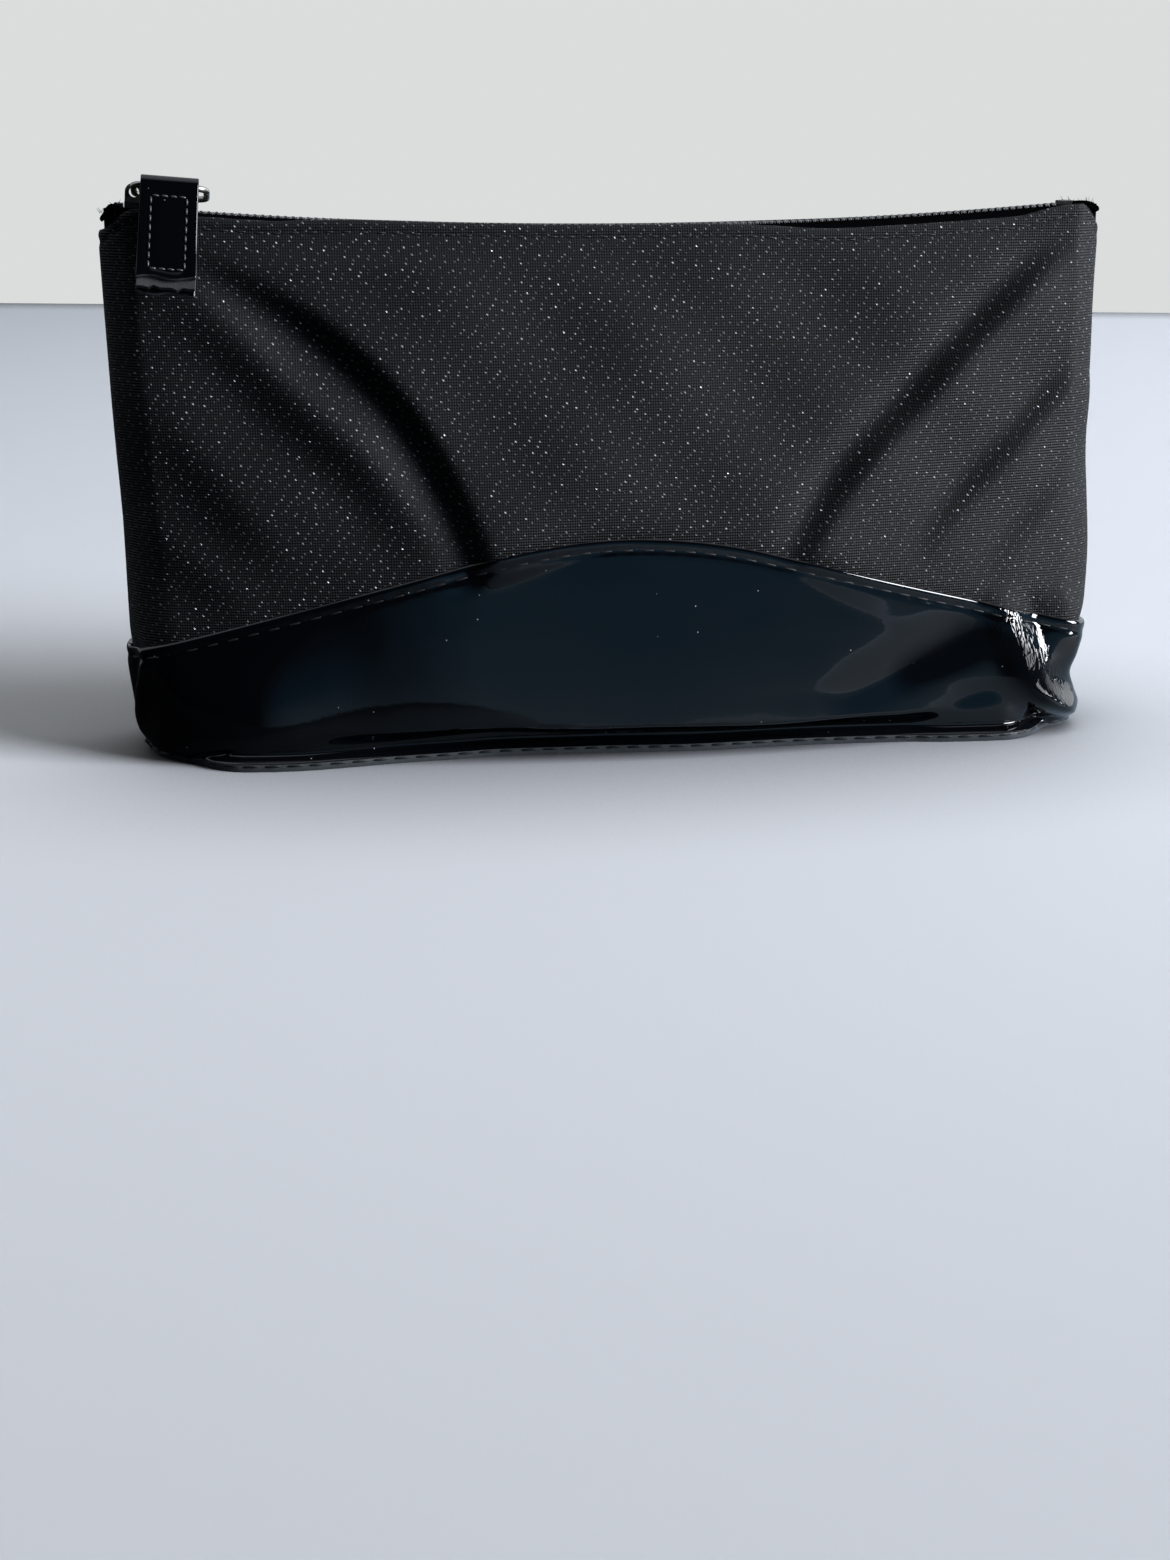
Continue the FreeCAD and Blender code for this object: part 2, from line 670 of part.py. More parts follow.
for quarter in range(4):
    path.addGeometry(Part.LineSegment(*bars[quarter]), False)
    bend = Part.Circle(centres[quarter], Vector(0, 0, 1), corner)
    start = (quarter - 1) * math.pi / 2
    path.addGeometry(Part.ArcOfCircle(bend, start, start + math.pi / 2), False)
for edge in range(8):
    path.addConstraint(Sketcher.Constraint("Tangent", edge, 2, (edge + 1) % 8, 1))
for edge, kind in ((0, "Horizontal"), (2, "Vertical"), (4, "Horizontal")):
    path.addConstraint(Sketcher.Constraint(kind, edge))
for edge in (3, 5, 7):
    path.addConstraint(Sketcher.Constraint("Equal", 1, edge))
for rule, text in (
    (Sketcher.Constraint("Radius", 1, corner), "ring_corner"),
    (Sketcher.Constraint("DistanceX", -1, 1, 2, 1, right), "ring_length - ring_wire"),
    (Sketcher.Constraint("DistanceX", 6, 1, 2, 1, right), "ring_length - ring_wire"),
    (Sketcher.Constraint("DistanceY", 0, 1, -1, 1, -low), "ring_offset + (ring_breadth - ring_wire) / 2"),
    (Sketcher.Constraint("DistanceY", 0, 1, 4, 1, 2 * reach), "ring_breadth - ring_wire"),
):
    index = path.addConstraint(rule)
    bind(path, {f"Constraints[{index}]": text})
wire = newSketch(ring, "ring_wire_section", "XZ_Plane")
wire.addGeometry(Part.Circle(Vector(0, 0, 0), Vector(0, 0, 1), size("ring_wire") / 2), False)
wire.addConstraint(Sketcher.Constraint("Coincident", 0, 3, -1, 1))
index = wire.addConstraint(Sketcher.Constraint("Radius", 0, size("ring_wire") / 2))
bind(wire, {f"Constraints[{index}]": "ring_wire / 2"})
doc.recompute()
pipe = ring.newObject("PartDesign::AdditivePipe", "ring_pipe")
pipe.Profile = wire
pipe.Spine = path
keep(ring, "pull_ring")

# ---- pull tab: one strap folded over the ring's front bar, with a filler between its two plies

barHole = size("ring_wire") / 2 + size("strap_play")
barHoleText = "ring_wire / 2 + strap_play"
foldRadius = barHole + size("strap_leather")
foldRadiusText = f"{barHoleText} + strap_leather"
hang = size("tab_length") - foldRadius
hangText = f"tab_length - ({foldRadiusText})"
tilt = math.radians(size("ring_tilt"))
barCentre = Vector(boreX + right / 2, low * math.cos(tilt), boreLevel - low * math.sin(tilt))
tabFrame = sliderFrame.multiply(Placement(barCentre, Rotation(Vector(1, 0, 0), -size("tab_lean"))))

strap = newBody("strap", tabFrame)
profile = newSketch(strap, "strap_profile", "YZ_Plane")
outerFold = Part.Circle(Vector(0, 0, 0), Vector(0, 0, 1), foldRadius)
innerFold = Part.Circle(Vector(0, 0, 0), Vector(0, 0, 1), barHole)
plies = [
    Part.ArcOfCircle(outerFold, 0, math.pi),
    Part.LineSegment(Vector(-foldRadius, 0, 0), Vector(-foldRadius, -hang, 0)),
    Part.LineSegment(Vector(-foldRadius, -hang, 0), Vector(-barHole, -hang, 0)),
    Part.LineSegment(Vector(-barHole, -hang, 0), Vector(-barHole, 0, 0)),
    Part.ArcOfCircle(innerFold, 0, math.pi),
    Part.LineSegment(Vector(barHole, 0, 0), Vector(barHole, -hang, 0)),
    Part.LineSegment(Vector(barHole, -hang, 0), Vector(foldRadius, -hang, 0)),
    Part.LineSegment(Vector(foldRadius, -hang, 0), Vector(foldRadius, 0, 0)),
]
for edge in plies:
    profile.addGeometry(edge, False)
for edge in range(8):
    following = (edge + 1) % 8
    leaves = 1 if edge == 4 else 2
    enters = 2 if following == 4 else 1
    profile.addConstraint(Sketcher.Constraint("Coincident", edge, leaves, following, enters))
for fold in (0, 4):
    profile.addConstraint(Sketcher.Constraint("Coincident", fold, 3, -1, 1))
    profile.addConstraint(Sketcher.Constraint("PointOnObject", fold, 1, -1))
    profile.addConstraint(Sketcher.Constraint("PointOnObject", fold, 2, -1))
for edge in (1, 3, 5, 7):
    profile.addConstraint(Sketcher.Constraint("Vertical", edge))
for edge in (2, 6):
    profile.addConstraint(Sketcher.Constraint("Horizontal", edge))
for rule, text in (
    (Sketcher.Constraint("Radius", 0, foldRadius), foldRadiusText),
    (Sketcher.Constraint("Radius", 4, barHole), barHoleText),
    (Sketcher.Constraint("DistanceY", 1, 2, -1, 1, hang), hangText),
    (Sketcher.Constraint("DistanceY", 6, 1, -1, 1, hang), hangText),
):
    index = profile.addConstraint(rule)
    bind(profile, {f"Constraints[{index}]": text})
pad(strap, profile, "strap_width")
keep(strap, "pull_tab_strap")

filler = newBody("filler", tabFrame)
fillerTop = size("filler_start")
pad(filler, outlineSketch(filler, "filler_section", "YZ_Plane", [
    (-barHole, -hang, f"-({barHoleText})", f"-({hangText})"),
    (barHole, -hang, barHoleText, f"-({hangText})"),
    (barHole, -fillerTop, barHoleText, "-filler_start"),
    (-barHole, -fillerTop, f"-({barHoleText})", "-filler_start"),
]), "strap_width - 2 * thread_width")
keep(filler, "pull_tab_filler")


def threadFrame(name, turn):
    """A rectangle of thread on one face of the tab, inside its edges."""
    face = Placement(Vector(0, turn * foldRadius, 0), Rotation(Vector(0, 0, 1), 90 + turn * 90))
    body = newBody(name, tabFrame.multiply(face))
    side = size("strap_width") / 2 - size("tab_stitch")
    top = fillerTop
    foot = hang - size("tab_stitch")
    width = size("thread_width")
    widthText = ("", " - thread_width")
    sketch = newSketch(body, name + "_outline", "XZ_Plane")
    for ply in (0, 1):
        x = side - ply * width
        z = (-foot + ply * width, -top - ply * width)
        corners = [Vector(-x, z[0], 0), Vector(x, z[0], 0), Vector(x, z[1], 0), Vector(-x, z[1], 0)]
        first = 4 * ply
        for index in range(4):
            sketch.addGeometry(Part.LineSegment(corners[index], corners[(index + 1) % 4]), False)
        for index in range(4):
            sketch.addConstraint(
                Sketcher.Constraint("Coincident", first + index, 2, first + (index + 1) % 4, 1)
            )
        sketch.addConstraint(Sketcher.Constraint("Horizontal", first))
        sketch.addConstraint(Sketcher.Constraint("Horizontal", first + 2))
        sketch.addConstraint(Sketcher.Constraint("Vertical", first + 1))
        sketch.addConstraint(Sketcher.Constraint("Vertical", first + 3))
        sideText = "strap_width / 2 - tab_stitch" + widthText[ply]
        footText = f"{hangText} - tab_stitch" + widthText[ply]
        topText = "filler_start" + (" + thread_width" if ply else "")
        for rule, text in (
            (Sketcher.Constraint("DistanceX", -1, 1, first + 1, 1, x), sideText),
            (Sketcher.Constraint("DistanceX", first, 1, -1, 1, x), sideText),
            (Sketcher.Constraint("DistanceY", first, 1, -1, 1, -z[0]), footText),
            (Sketcher.Constraint("DistanceY", first + 2, 1, -1, 1, -z[1]), topText),
        ):
            index = sketch.addConstraint(rule)
            bind(sketch, {f"Constraints[{index}]": text})
    pad(body, sketch, "thread_proud", centred=False)
    return body


tabThread = doc.addObject("Part::Compound", "tab_thread")
tabThread.Links = [threadFrame("tab_thread_front", -1), threadFrame("tab_thread_back", 1)]
keep(tabThread, "pull_tab_stitching")

# ---- check every object, then write one file for each piece

doc.recompute()
for thing in doc.Objects:
    if "Invalid" in thing.State or "Error" in thing.State:
        raise RuntimeError(f"{thing.Label} failed: {thing.State}")

os.makedirs("parts", exist_ok=True)
for piece in nodes:
    if piece.Shape.isNull() or not piece.Shape.isValid():
        raise RuntimeError(f"{piece.Label} has no valid shape")
    piece.Shape.exportStep(f"parts/{piece.Label}.step")
    print(f"{piece.Label}: {len(piece.Shape.Solids)} solid(s), {piece.Shape.Volume:.1f} mm3")
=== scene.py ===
import json
import math
import random

import bpy
import numpy as np
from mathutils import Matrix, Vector


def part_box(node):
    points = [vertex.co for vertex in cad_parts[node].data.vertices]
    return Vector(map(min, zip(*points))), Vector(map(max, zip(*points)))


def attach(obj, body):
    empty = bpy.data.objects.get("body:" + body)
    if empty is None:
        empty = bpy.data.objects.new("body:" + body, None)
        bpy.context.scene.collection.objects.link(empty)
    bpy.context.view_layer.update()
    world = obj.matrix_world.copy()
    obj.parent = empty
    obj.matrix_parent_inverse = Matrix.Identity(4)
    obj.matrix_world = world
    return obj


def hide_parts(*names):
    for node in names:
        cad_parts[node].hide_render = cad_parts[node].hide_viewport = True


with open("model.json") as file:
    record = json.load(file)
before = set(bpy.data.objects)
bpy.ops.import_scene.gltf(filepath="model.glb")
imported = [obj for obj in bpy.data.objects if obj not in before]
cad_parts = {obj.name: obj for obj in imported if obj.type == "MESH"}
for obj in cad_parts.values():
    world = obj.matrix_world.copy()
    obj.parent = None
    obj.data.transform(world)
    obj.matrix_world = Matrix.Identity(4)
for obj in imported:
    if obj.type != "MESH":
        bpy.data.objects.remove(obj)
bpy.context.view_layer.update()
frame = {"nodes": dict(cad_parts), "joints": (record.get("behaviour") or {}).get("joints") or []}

# A soft zipped makeup bag: glitter knit above, patent below, seen from a little above its front.
# Side -1 is the front and 1 the back; end -1 is the left and 1 the right.
# Lengths in the dictionaries are millimetres; meshes are made in metres.

metre = 0.001
random.seed(11)


# small helpers

def pick(*objects):
    # only these stay selected, and the first of them is active
    if bpy.context.object and bpy.context.object.mode != "OBJECT":
        bpy.ops.object.mode_set(mode="OBJECT")
    bpy.ops.object.select_all(action="DESELECT")
    for each in objects:
        each.select_set(True)
    if objects:
        bpy.context.view_layer.objects.active = objects[0]


def reshape(*steps):
    # edit-mode operators with their settings, each run on the whole of the active mesh
    bpy.ops.object.mode_set(mode="EDIT")
    for operator, settings in steps:
        bpy.ops.mesh.select_all(action="SELECT")
        operator(**settings)
    bpy.ops.object.mode_set(mode="OBJECT")


def linearColour(hexText):
    channels = [int(hexText[i:i + 2], 16) / 255 for i in (1, 3, 5)]
    linear = [c / 12.92 if c <= 0.04045 else ((c + 0.055) / 1.055) ** 2.4 for c in channels]
    return (*linear, 1.0)


def boxOf(node):
    low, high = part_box(node)
    return [v / metre for v in low], [v / metre for v in high]


def softStep(low, high, value):
    f = np.clip((value - low) / (high - low), 0.0, 1.0)
    return f * f * (3 - 2 * f)


def hill(value, centre, reach):
    return np.exp(-((value - centre) / reach) ** 2)


def smoothCurve(points):
    # a smooth line through (height, value) pairs that never overshoots them
    heights = np.array([p[0] for p in points], float)
    values = np.array([p[1] for p in points], float)
    steps = np.diff(values) / np.diff(heights)
    slopes = np.zeros(len(points))
    slopes[0], slopes[-1] = steps[0], steps[-1]
    for i in range(1, len(points) - 1):
        if steps[i - 1] * steps[i] > 0:
            slopes[i] = 2 * steps[i - 1] * steps[i] / (steps[i - 1] + steps[i])

    def at(height):
        h = np.clip(height, heights[0], heights[-1])
        k = np.clip(np.searchsorted(heights, h) - 1, 0, len(heights) - 2)
        span = heights[k + 1] - heights[k]
        f = (h - heights[k]) / span
        g = 1 - f
        return (
            values[k] * (1 + 2 * f) * g * g
            + slopes[k] * span * f * g * g
            + values[k + 1] * f * f * (3 - 2 * f)
            - slopes[k + 1] * span * f * f * g
        )

    return at


# the bag's form: an oval at each height, with folds laid over it

clothBox = boxOf("front_upper_panel")
patentBox = boxOf("front_patent_panel")
coilBox = boxOf("zip_coil_front")
joints = {joint["name"]: joint for joint in frame["joints"]}

bag = {
    "arcCentre": joints["slider_travel"]["pos_m"][2] / metre,
    "coilHalf": 0.9,
    "halfTop": clothBox[1][0] + 0.2,
    "bellyDepth": -patentBox[0][1],
    "archPeak": patentBox[1][2],
    "archSide": clothBox[0][2] - 0.5,
    "archCurve": 115.0,
    "hemAboveChain": 0.6,
    "panelSheet": 0.9,
    "patentProud": 0.95,
    "feltSheet": 0.6,
    "liningSheet": 0.3,
}
chainArc = bag["arcCentre"] - coilBox[0][2] - bag["coilHalf"]
hemArc = chainArc - bag["hemAboveChain"]

# half the width at the left and right side seams, half the depth and the end's radius, by height
leftHalf = smoothCurve([
    (0, 97), (3, 98.4), (10, 99.8), (21, 100.8), (46, 101), (62, 101.6), (85, 102.3), (112, 102.9),
])
rightHalf = smoothCurve([
    (0, 99.2), (4, 99.6), (8, 98), (11.5, 97), (16, 99.2), (21, 101.8), (27, 103.5), (36, 104),
    (50, 103.2), (66, 101.9), (112, 102.6),
])
halfDepth = smoothCurve([(-4, 26.1), (8, bag["bellyDepth"] - 0.1), (46, 19), (112, 6.4)])
endRadius = smoothCurve([(0, 16), (12, 15.5), (24, 13), (46, 9), (112, 5.8)])


def ovalPoint(s, z):
    # s runs from -1 at the left side seam to 1 at the right one; y is measured outwards
    half = np.where(s < 0, leftHalf(z), rightHalf(z))
    depth, end = halfDepth(z), endRadius(z)
    reach = half - end
    bow = (reach ** 2 + depth ** 2 - end ** 2) / (2 * (depth - end))
    lean = np.arctan2(reach, bow - depth)
    bowRun = bow * lean
    endRun = end * (math.pi / 2 - lean)
    run = np.abs(s) * (bowRun + endRun)
    onBow = run < bowRun
    turn = np.where(onBow, run / bow, lean + (run - bowRun) / end)
    x = np.where(onBow, bow * np.sin(turn), reach + end * np.sin(turn))
    y = np.where(onBow, bow * np.cos(turn) - (bow - depth), end * np.cos(turn))
    # higher up the two walls meet at the side seam as a wedge
    along = np.clip((run - bowRun) / endRun, 0, 1)
    wedge = end * np.cos(lean) * (1 - along) ** 1.15
    sharp = softStep(20, 60, z)
    y = np.where(onBow, y, y * (1 - sharp) + wedge * sharp)
    side = np.sign(s)
    return side * x, y, side * np.sin(turn), np.cos(turn), side * run, bowRun + endRun


def spineOf(points, count=48):
    # a smooth line through a few given points, with its strength as a third number
    p = np.array([points[0], *points, points[-1]], float)
    out = []
    for i in range(1, len(p) - 2):
        for f in np.linspace(0, 1, count // (len(points) - 1), endpoint=False):
            out.append(0.5 * (
                2 * p[i] + (p[i + 1] - p[i - 1]) * f
                + (2 * p[i - 1] - 5 * p[i] + 4 * p[i + 1] - p[i + 2]) * f ** 2
                + (3 * p[i] - p[i - 1] - 3 * p[i + 1] + p[i + 2]) * f ** 3
            ))
    out.append(p[-1])
    return np.array(out)


def fold(x, z, height, gentle, steep, valley, spine):
    # a ridge along a spine: it slopes gently on the right of the cloth, and on the left it drops
    # steeply into a valley a little below the cloth around it
    shape = np.broadcast(x, z).shape
    nearest = np.full(shape, 1e9)
    signed = np.zeros(shape)
    strength = np.zeros(shape)
    for a, b in zip(spine[:-1], spine[1:]):
        dx, dz = b[0] - a[0], b[1] - a[1]
        f = np.clip(((x - a[0]) * dx + (z - a[1]) * dz) / (dx * dx + dz * dz + 1e-12), 0, 1)
        ox, oz = x - a[0] - f * dx, z - a[1] - f * dz
        distance = np.hypot(ox, oz)
        closer = distance < nearest
        nearest = np.where(closer, distance, nearest)
        signed = np.where(closer, np.sign(dx * oz - dz * ox), signed)
        strength = np.where(closer, a[2] + f * (b[2] - a[2]), strength)
    ridge = np.where(signed > 0, np.exp(-(nearest / gentle) ** 1.6), np.exp(-(nearest / steep) ** 2))
    hollow = valley * np.where(signed > 0, 0, hill(nearest, 1.7 * steep, 1.1 * steep))
    return height * strength * (ridge - hollow)


# each fold: height, gentle and steep reach, valley, then x, z and strength along its crest
folds = {
    -1: [
        (3.3, 20, 3.4, 0.42, [
            (-88, 106, 0), (-78, 99.5, 0.3), (-69, 94.5, 0.55), (-59.5, 88.5, 0.85), (-49.5, 80, 1),
            (-41.5, 70.5, 1), (-35.2, 60, 0.95), (-30.5, 50, 0.85), (-28, 43, 0.75), (-26, 36, 0),
        ]),
        (2.1, 4.4, 5.5, 0.3, [
            (-94, 104, 0), (-84, 92.5, 0.5), (-75, 83.5, 0.9), (-67, 75, 1), (-60, 68.5, 1),
            (-53, 62, 1), (-46.5, 54, 0.8), (-40, 45, 0.35), (-37, 38, 0),
        ]),
        (1.4, 7, 6, 0.3, [
            (-99, 78, 0), (-88, 66, 0.8), (-78, 54, 1), (-70, 44, 0.5), (-66, 36, 0),
        ]),
        (1, 6, 5, 0.3, [
            (-98, 52, 0), (-90, 44, 0.8), (-80, 36, 0.7), (-74, 30, 0),
        ]),
        (2.9, 14, 3.2, 0.36, [
            (101, 104, 0), (93, 98, 0.5), (85, 91, 0.85), (71, 77.5, 1), (62, 68, 1), (52, 58.5, 1),
            (44.5, 49, 0.85), (39.5, 41, 0.6), (36, 35, 0),
        ]),
        (1.7, 9, 3.2, 0.3, [
            (100, 76, 0), (93.5, 70, 0.8), (84.5, 60.5, 1), (75, 51, 0.9), (68, 43, 0.5), (64, 36, 0),
        ]),
        (1, 7, 3.4, 0.3, [
            (100, 56, 0), (92, 47, 0.9), (84, 38, 0.6), (80, 32, 0),
        ]),
    ],
    1: [
        (3, 19, 4, 0.3, [
            (-88, 106, 0), (-76, 99, 0.6), (-60, 88, 1), (-48, 76, 1), (-38, 62, 1), (-30, 48, 0.7),
            (-26, 38, 0),
        ]),
        (1.6, 6, 6, 0.2, [
            (-92, 84, 0), (-78, 72, 0.8), (-64, 56, 1), (-55, 44, 0.4), (-51, 36, 0),
        ]),
        (2.8, 15, 3.8, 0.3, [
            (101, 102, 0), (90, 94, 0.6), (76, 82, 1), (63, 70, 1), (50, 56, 0.9), (41, 43, 0.5),
            (37, 36, 0),
        ]),
    ],
}
# the same for the boxed corners, with the distance in from the side seam for x
cornerFolds = {
    -1: [
        (1.5, 1.9, 2.4, 0.9, [
            (8, 26, 0), (11, 20, 1), (9, 13, 1), (6, 7, 0.7), (5, 2, 0),
        ]),
    ],
    1: [
        (2.3, 4.6, 4.6, 0, [
            (34, 30, 0), (31.5, 27, 0.5), (29.5, 23.5, 0.95), (26.5, 19, 1), (21.5, 12, 1),
            (18, 6, 0.7), (17, 0, 0.4),
        ]),
        (1.4, 2.4, 4.4, 0, [
            (16, 31, 0), (14.5, 26, 0.8), (12.5, 19, 1), (10.5, 13, 0.9), (9, 8, 0.5), (8, 3, 0),
        ]),
        (-1.3, 3, 3, 0, [
            (25, 31, 0), (23.5, 27, 0.9), (20.5, 20, 1), (16.5, 12, 0.8), (14, 6, 0),
        ]),
        (-1.2, 4.6, 6, 0, [
            (66, 9, 0), (58, 12, 0.6), (49, 16, 1), (41, 19.5, 1), (36, 22, 0.4), (33, 24, 0),
        ]),
    ],
}
for group in [*folds.values(), *cornerFolds.values()]:
    for k, (*shape, points) in enumerate(group):
        group[k] = (*shape, spineOf(points))


def drape(side, x, z, run, girth):
    # how far the cloth stands out from the plain oval
    inward = girth - np.abs(run)
    out = np.zeros(np.broadcast(x, z).shape)
    for each in folds[side]:
        out = out + fold(x, z, *each)
    corner = softStep(0, 5, inward)
    out = out * corner * (1 - softStep(97, 104.5, z))
    farOff = 300.0  # out of reach of every corner fold
    for end in (-1, 1):
        here = np.where(end * x > 0, inward, farOff)
        for each in cornerFolds[end]:
            out = out + fold(here, z, *each) * softStep(0, 4, inward)
    # soft unevenness of the padded cloth, fainter where the stiff patent is
    wave = (
        0.42 * np.sin(x * 0.071 + z * 0.043 + 1.3 * side)
        + 0.30 * np.sin(x * 0.127 - z * 0.095 + 2.1)
        + 0.18 * np.sin(x * 0.21 + z * 0.17 + 0.6 * side)
    )
    out = out + wave * corner * (1 - softStep(92, 106, z)) * (0.12 + 0.88 * softStep(36, 56, z))
    # the stuffed lower corners
    if side < 0:
        flare = 3.0 * hill(inward, 30, 17) * (x < 0) + 4.2 * hill(inward, 17, 13) * (x > 0)
        flare = flare + 0.5 * hill(x, 10, 30)
    else:
        flare = 2.6 * hill(inward, 30, 17)
    return out + flare * (1 - softStep(3, 34, z)) * softStep(0, 9, inward)


# by place along each wall: how far out its foot stands, and how high it turns under
groundLine = {
    -1: smoothCurve([
        (-98, 4), (-92.7, 9), (-87.6, 15.5), (-82.6, 20.3), (-77.7, 22.6), (-67.8, 23.4),
        (-57.7, 22.2), (-47.4, 20.4), (-37, 19.3), (-26.5, 18), (-5.7, 18.6), (15, 20), (36.8, 19),
        (58, 19.6), (68.4, 21.2), (79, 21.6), (84.6, 19.5), (91.9, 12), (97, 4),
    ]),
    1: smoothCurve([
        (-98, 7), (-90, 18), (-78, 24), (-60, 22), (-30, 19), (5, 20), (40, 19.5), (70, 22.5),
        (84, 22), (92, 17), (97, 8),
    ]),
}
turnLine = {
    -1: smoothCurve([
        (-100, 0.4), (-92, 1.4), (-84, 3.3), (-74, 5.2), (-61, 6.4), (-35, 6.9), (-5, 6.6),
        (15, 6), (55, 5.9), (66, 6.7), (73, 8.2), (79, 9), (84, 7.6), (90, 4.2), (95.5, 1), (100, 0.2),
    ]),
    1: smoothCurve([(-100, 5.4), (-50, 6.4), (-10, 5.8), (40, 6.3), (100, 5.5)]),
}


def tuck(side, x, y, ny, z, inward, out):
    # near the floor the wall turns sharply under, then comes out again as the sewn flange
    level = turnLine[side](x) + 0.2 * np.sin(x * 0.16)
    foot = (groundLine[side](x) - y) / np.maximum(ny, 0.45)
    foot = np.maximum(foot, -7.0) * softStep(8, 24, inward) - 0.6 * (1 - softStep(8, 24, inward))
    flange = foot + 0.8 - 3.0 * softStep(1.3, 3.0, z)
    soft = softStep(68, 80, x)
    share = softStep(level - 2.6 - soft, level + 0.7 + 1.6 * soft, z) ** 1.3
    return out * share + flange * (1 - share)


def wallPoint(side, s, z, inset=0.0):
    x, y, nx, ny, run, girth = ovalPoint(s, z)
    inward = girth - np.abs(run)
    out = tuck(side, x, y, ny, z, inward, drape(side, x, z, run, girth)) - inset
    return x + nx * out, side * (y + ny * out), run


def archHeight(x):
    # an arc at the middle, with a straight flank on each side of it
    curve, side, low = bag["archCurve"], bag["halfTop"], bag["archSide"]
    centre = bag["archPeak"] - curve
    slope = math.atan2(low - centre, side) + math.acos(curve / math.hypot(side, low - centre))
    touchX, touchZ = curve * math.cos(slope), centre + curve * math.sin(slope)
    fall = (touchZ - low) / (side - touchX)
    flank = touchZ - (np.abs(x) - touchX) * fall
    return np.where(np.abs(x) < touchX, centre + np.sqrt(np.maximum(curve ** 2 - x ** 2, 0)), flank)


def chainHeight(x):
    return bag["arcCentre"] - np.sqrt(chainArc ** 2 - x ** 2)


def hemHeight(side, x):
    # the hem follows the zip, hides it at mid-length and dips below it towards the ends
    z = bag["arcCentre"] - np.sqrt(hemArc ** 2 - x ** 2)
    if side < 0:
        z = z + 0.5 * softStep(-64, -52, x) * (1 - softStep(16, 32, x))
        z = z - 0.6 * softStep(-93, -86, x) * (1 - softStep(-70, -60, x))
        z = z - 1.4 * softStep(24, 46, x) * (1 - softStep(82, 93, x))
    else:
        z = z + 0.2 * softStep(-70, -40, x) * (1 - softStep(30, 60, x))
    return z - 4.8 * softStep(93.5, 103, -x) ** 1.6 - 4.8 * softStep(95.5, 103.2, x) ** 1.7


def levelAt(s, height, start, *args):
    # the height that a line on the wall has above the point s, found in a few steps
    z = np.full(np.shape(s), float(start))
    for _ in range(4):
        z = height(*args, ovalPoint(s, z)[0])
    return z


# sheets of cloth

def gridSheet(name, columns, rows, place, outwards=True):
    # a flat grid whose points are moved to their places on the bag
    pick()
    bpy.ops.mesh.primitive_grid_add(x_subdivisions=columns, y_subdivisions=rows, size=2, calc_uvs=True)
    sheet = bpy.context.object
    sheet.name = name
    sheet.data.name = name
    count = len(sheet.data.vertices)
    flat = np.empty(count * 3)
    sheet.data.vertices.foreach_get("co", flat)
    flat = flat.reshape(count, 3)
    x, y, z, u, v = place(flat[:, 0], (flat[:, 1] + 1) / 2)
    points = np.stack([x, y, z], axis=1) * metre
    sheet.data.vertices.foreach_set("co", points.ravel())
    corner = np.empty(len(sheet.data.loops), dtype=np.int32)
    sheet.data.loops.foreach_get("vertex_index", corner)
    layer = sheet.data.uv_layers.active
    layer.name = "clothMap"
    layer.data.foreach_set("uv", (np.stack([u, v], axis=1)[corner] * metre).ravel())
    if not outwards:
        reshape((bpy.ops.mesh.flip_normals, {}))
    sheet.data.update()
    return sheet


def thicken(sheet, thickness, rim=0, soften=0):
    for _ in range(rim + 1):
        sheet.data.materials.append(None)
    solid = sheet.modifiers.new("thickness", "SOLIDIFY")
    solid.thickness = thickness * metre
    solid.offset = -1
    solid.material_offset_rim = rim
    if soften:
        soft = sheet.modifiers.new("softRim", "BEVEL")
        soft.width = soften * metre
        soft.segments = 2
        soft.limit_method = "ANGLE"
        soft.angle_limit = math.radians(62)
    pick(sheet)
    for modifier in list(sheet.modifiers):
        bpy.ops.object.modifier_apply(modifier=modifier.name)
    bpy.ops.object.shade_smooth_by_angle(angle=math.radians(50))


def join(name, parts):
    pick(*parts)
    if len(parts) > 1:
        bpy.ops.object.join()
    whole = bpy.context.object
    whole.name = name
    whole.data.name = name
    return whole


def finishPiece(piece, materials, body, nodes):
    slots = piece.data.materials
    while len(slots) < len(materials):
        slots.append(None)
    while len(slots) > len(materials):
        slots.pop()
    for k, material in enumerate(materials):
        slots[k] = material
    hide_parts(*nodes)
    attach(piece, body)


def spread(t, near, far, total):
    # rows packed closely over the bands at the two ends, evenly between them
    (near, nearShare), (far, farShare) = near, far
    middle = total - near - far
    low = t / nearShare * near
    mid = near + (t - nearShare) / (1 - nearShare - farShare) * middle
    high = total - (1 - t) / farShare * far
    return np.where(t < nearShare, low, np.where(t > 1 - farShare, high, mid))


# materials

def setInputs(node, inputs):
    # inputs come in the order of the node's sockets, or by name or number: a node or socket is
    # linked, a hex colour is turned to linear, and a number is the socket's own value
    if not isinstance(inputs, dict):
        inputs = dict(enumerate(inputs))
    for key, value in inputs.items():
        if isinstance(value, str):
            value = linearColour(value)
        if isinstance(value, bpy.types.Node):
            value = value.outputs[0]
        if isinstance(value, bpy.types.NodeSocket):
            node.id_data.links.new(value, node.inputs[key])
        else:
            node.inputs[key].default_value = value


def addNode(tree, kind, inputs=(), **settings):
    node = tree.nodes.new("ShaderNode" + kind)
    for key, value in settings.items():
        setattr(node, key, value)
    setInputs(node, inputs)
    return node


def newMaterial(name, **inputs):
    material = bpy.data.materials.new(name)
    material.use_nodes = True
    tree = material.node_tree
    shader = tree.nodes["Principled BSDF"]
    setInputs(shader, {key.replace("_", " "): value for key, value in inputs.items()})
    return material, tree, shader


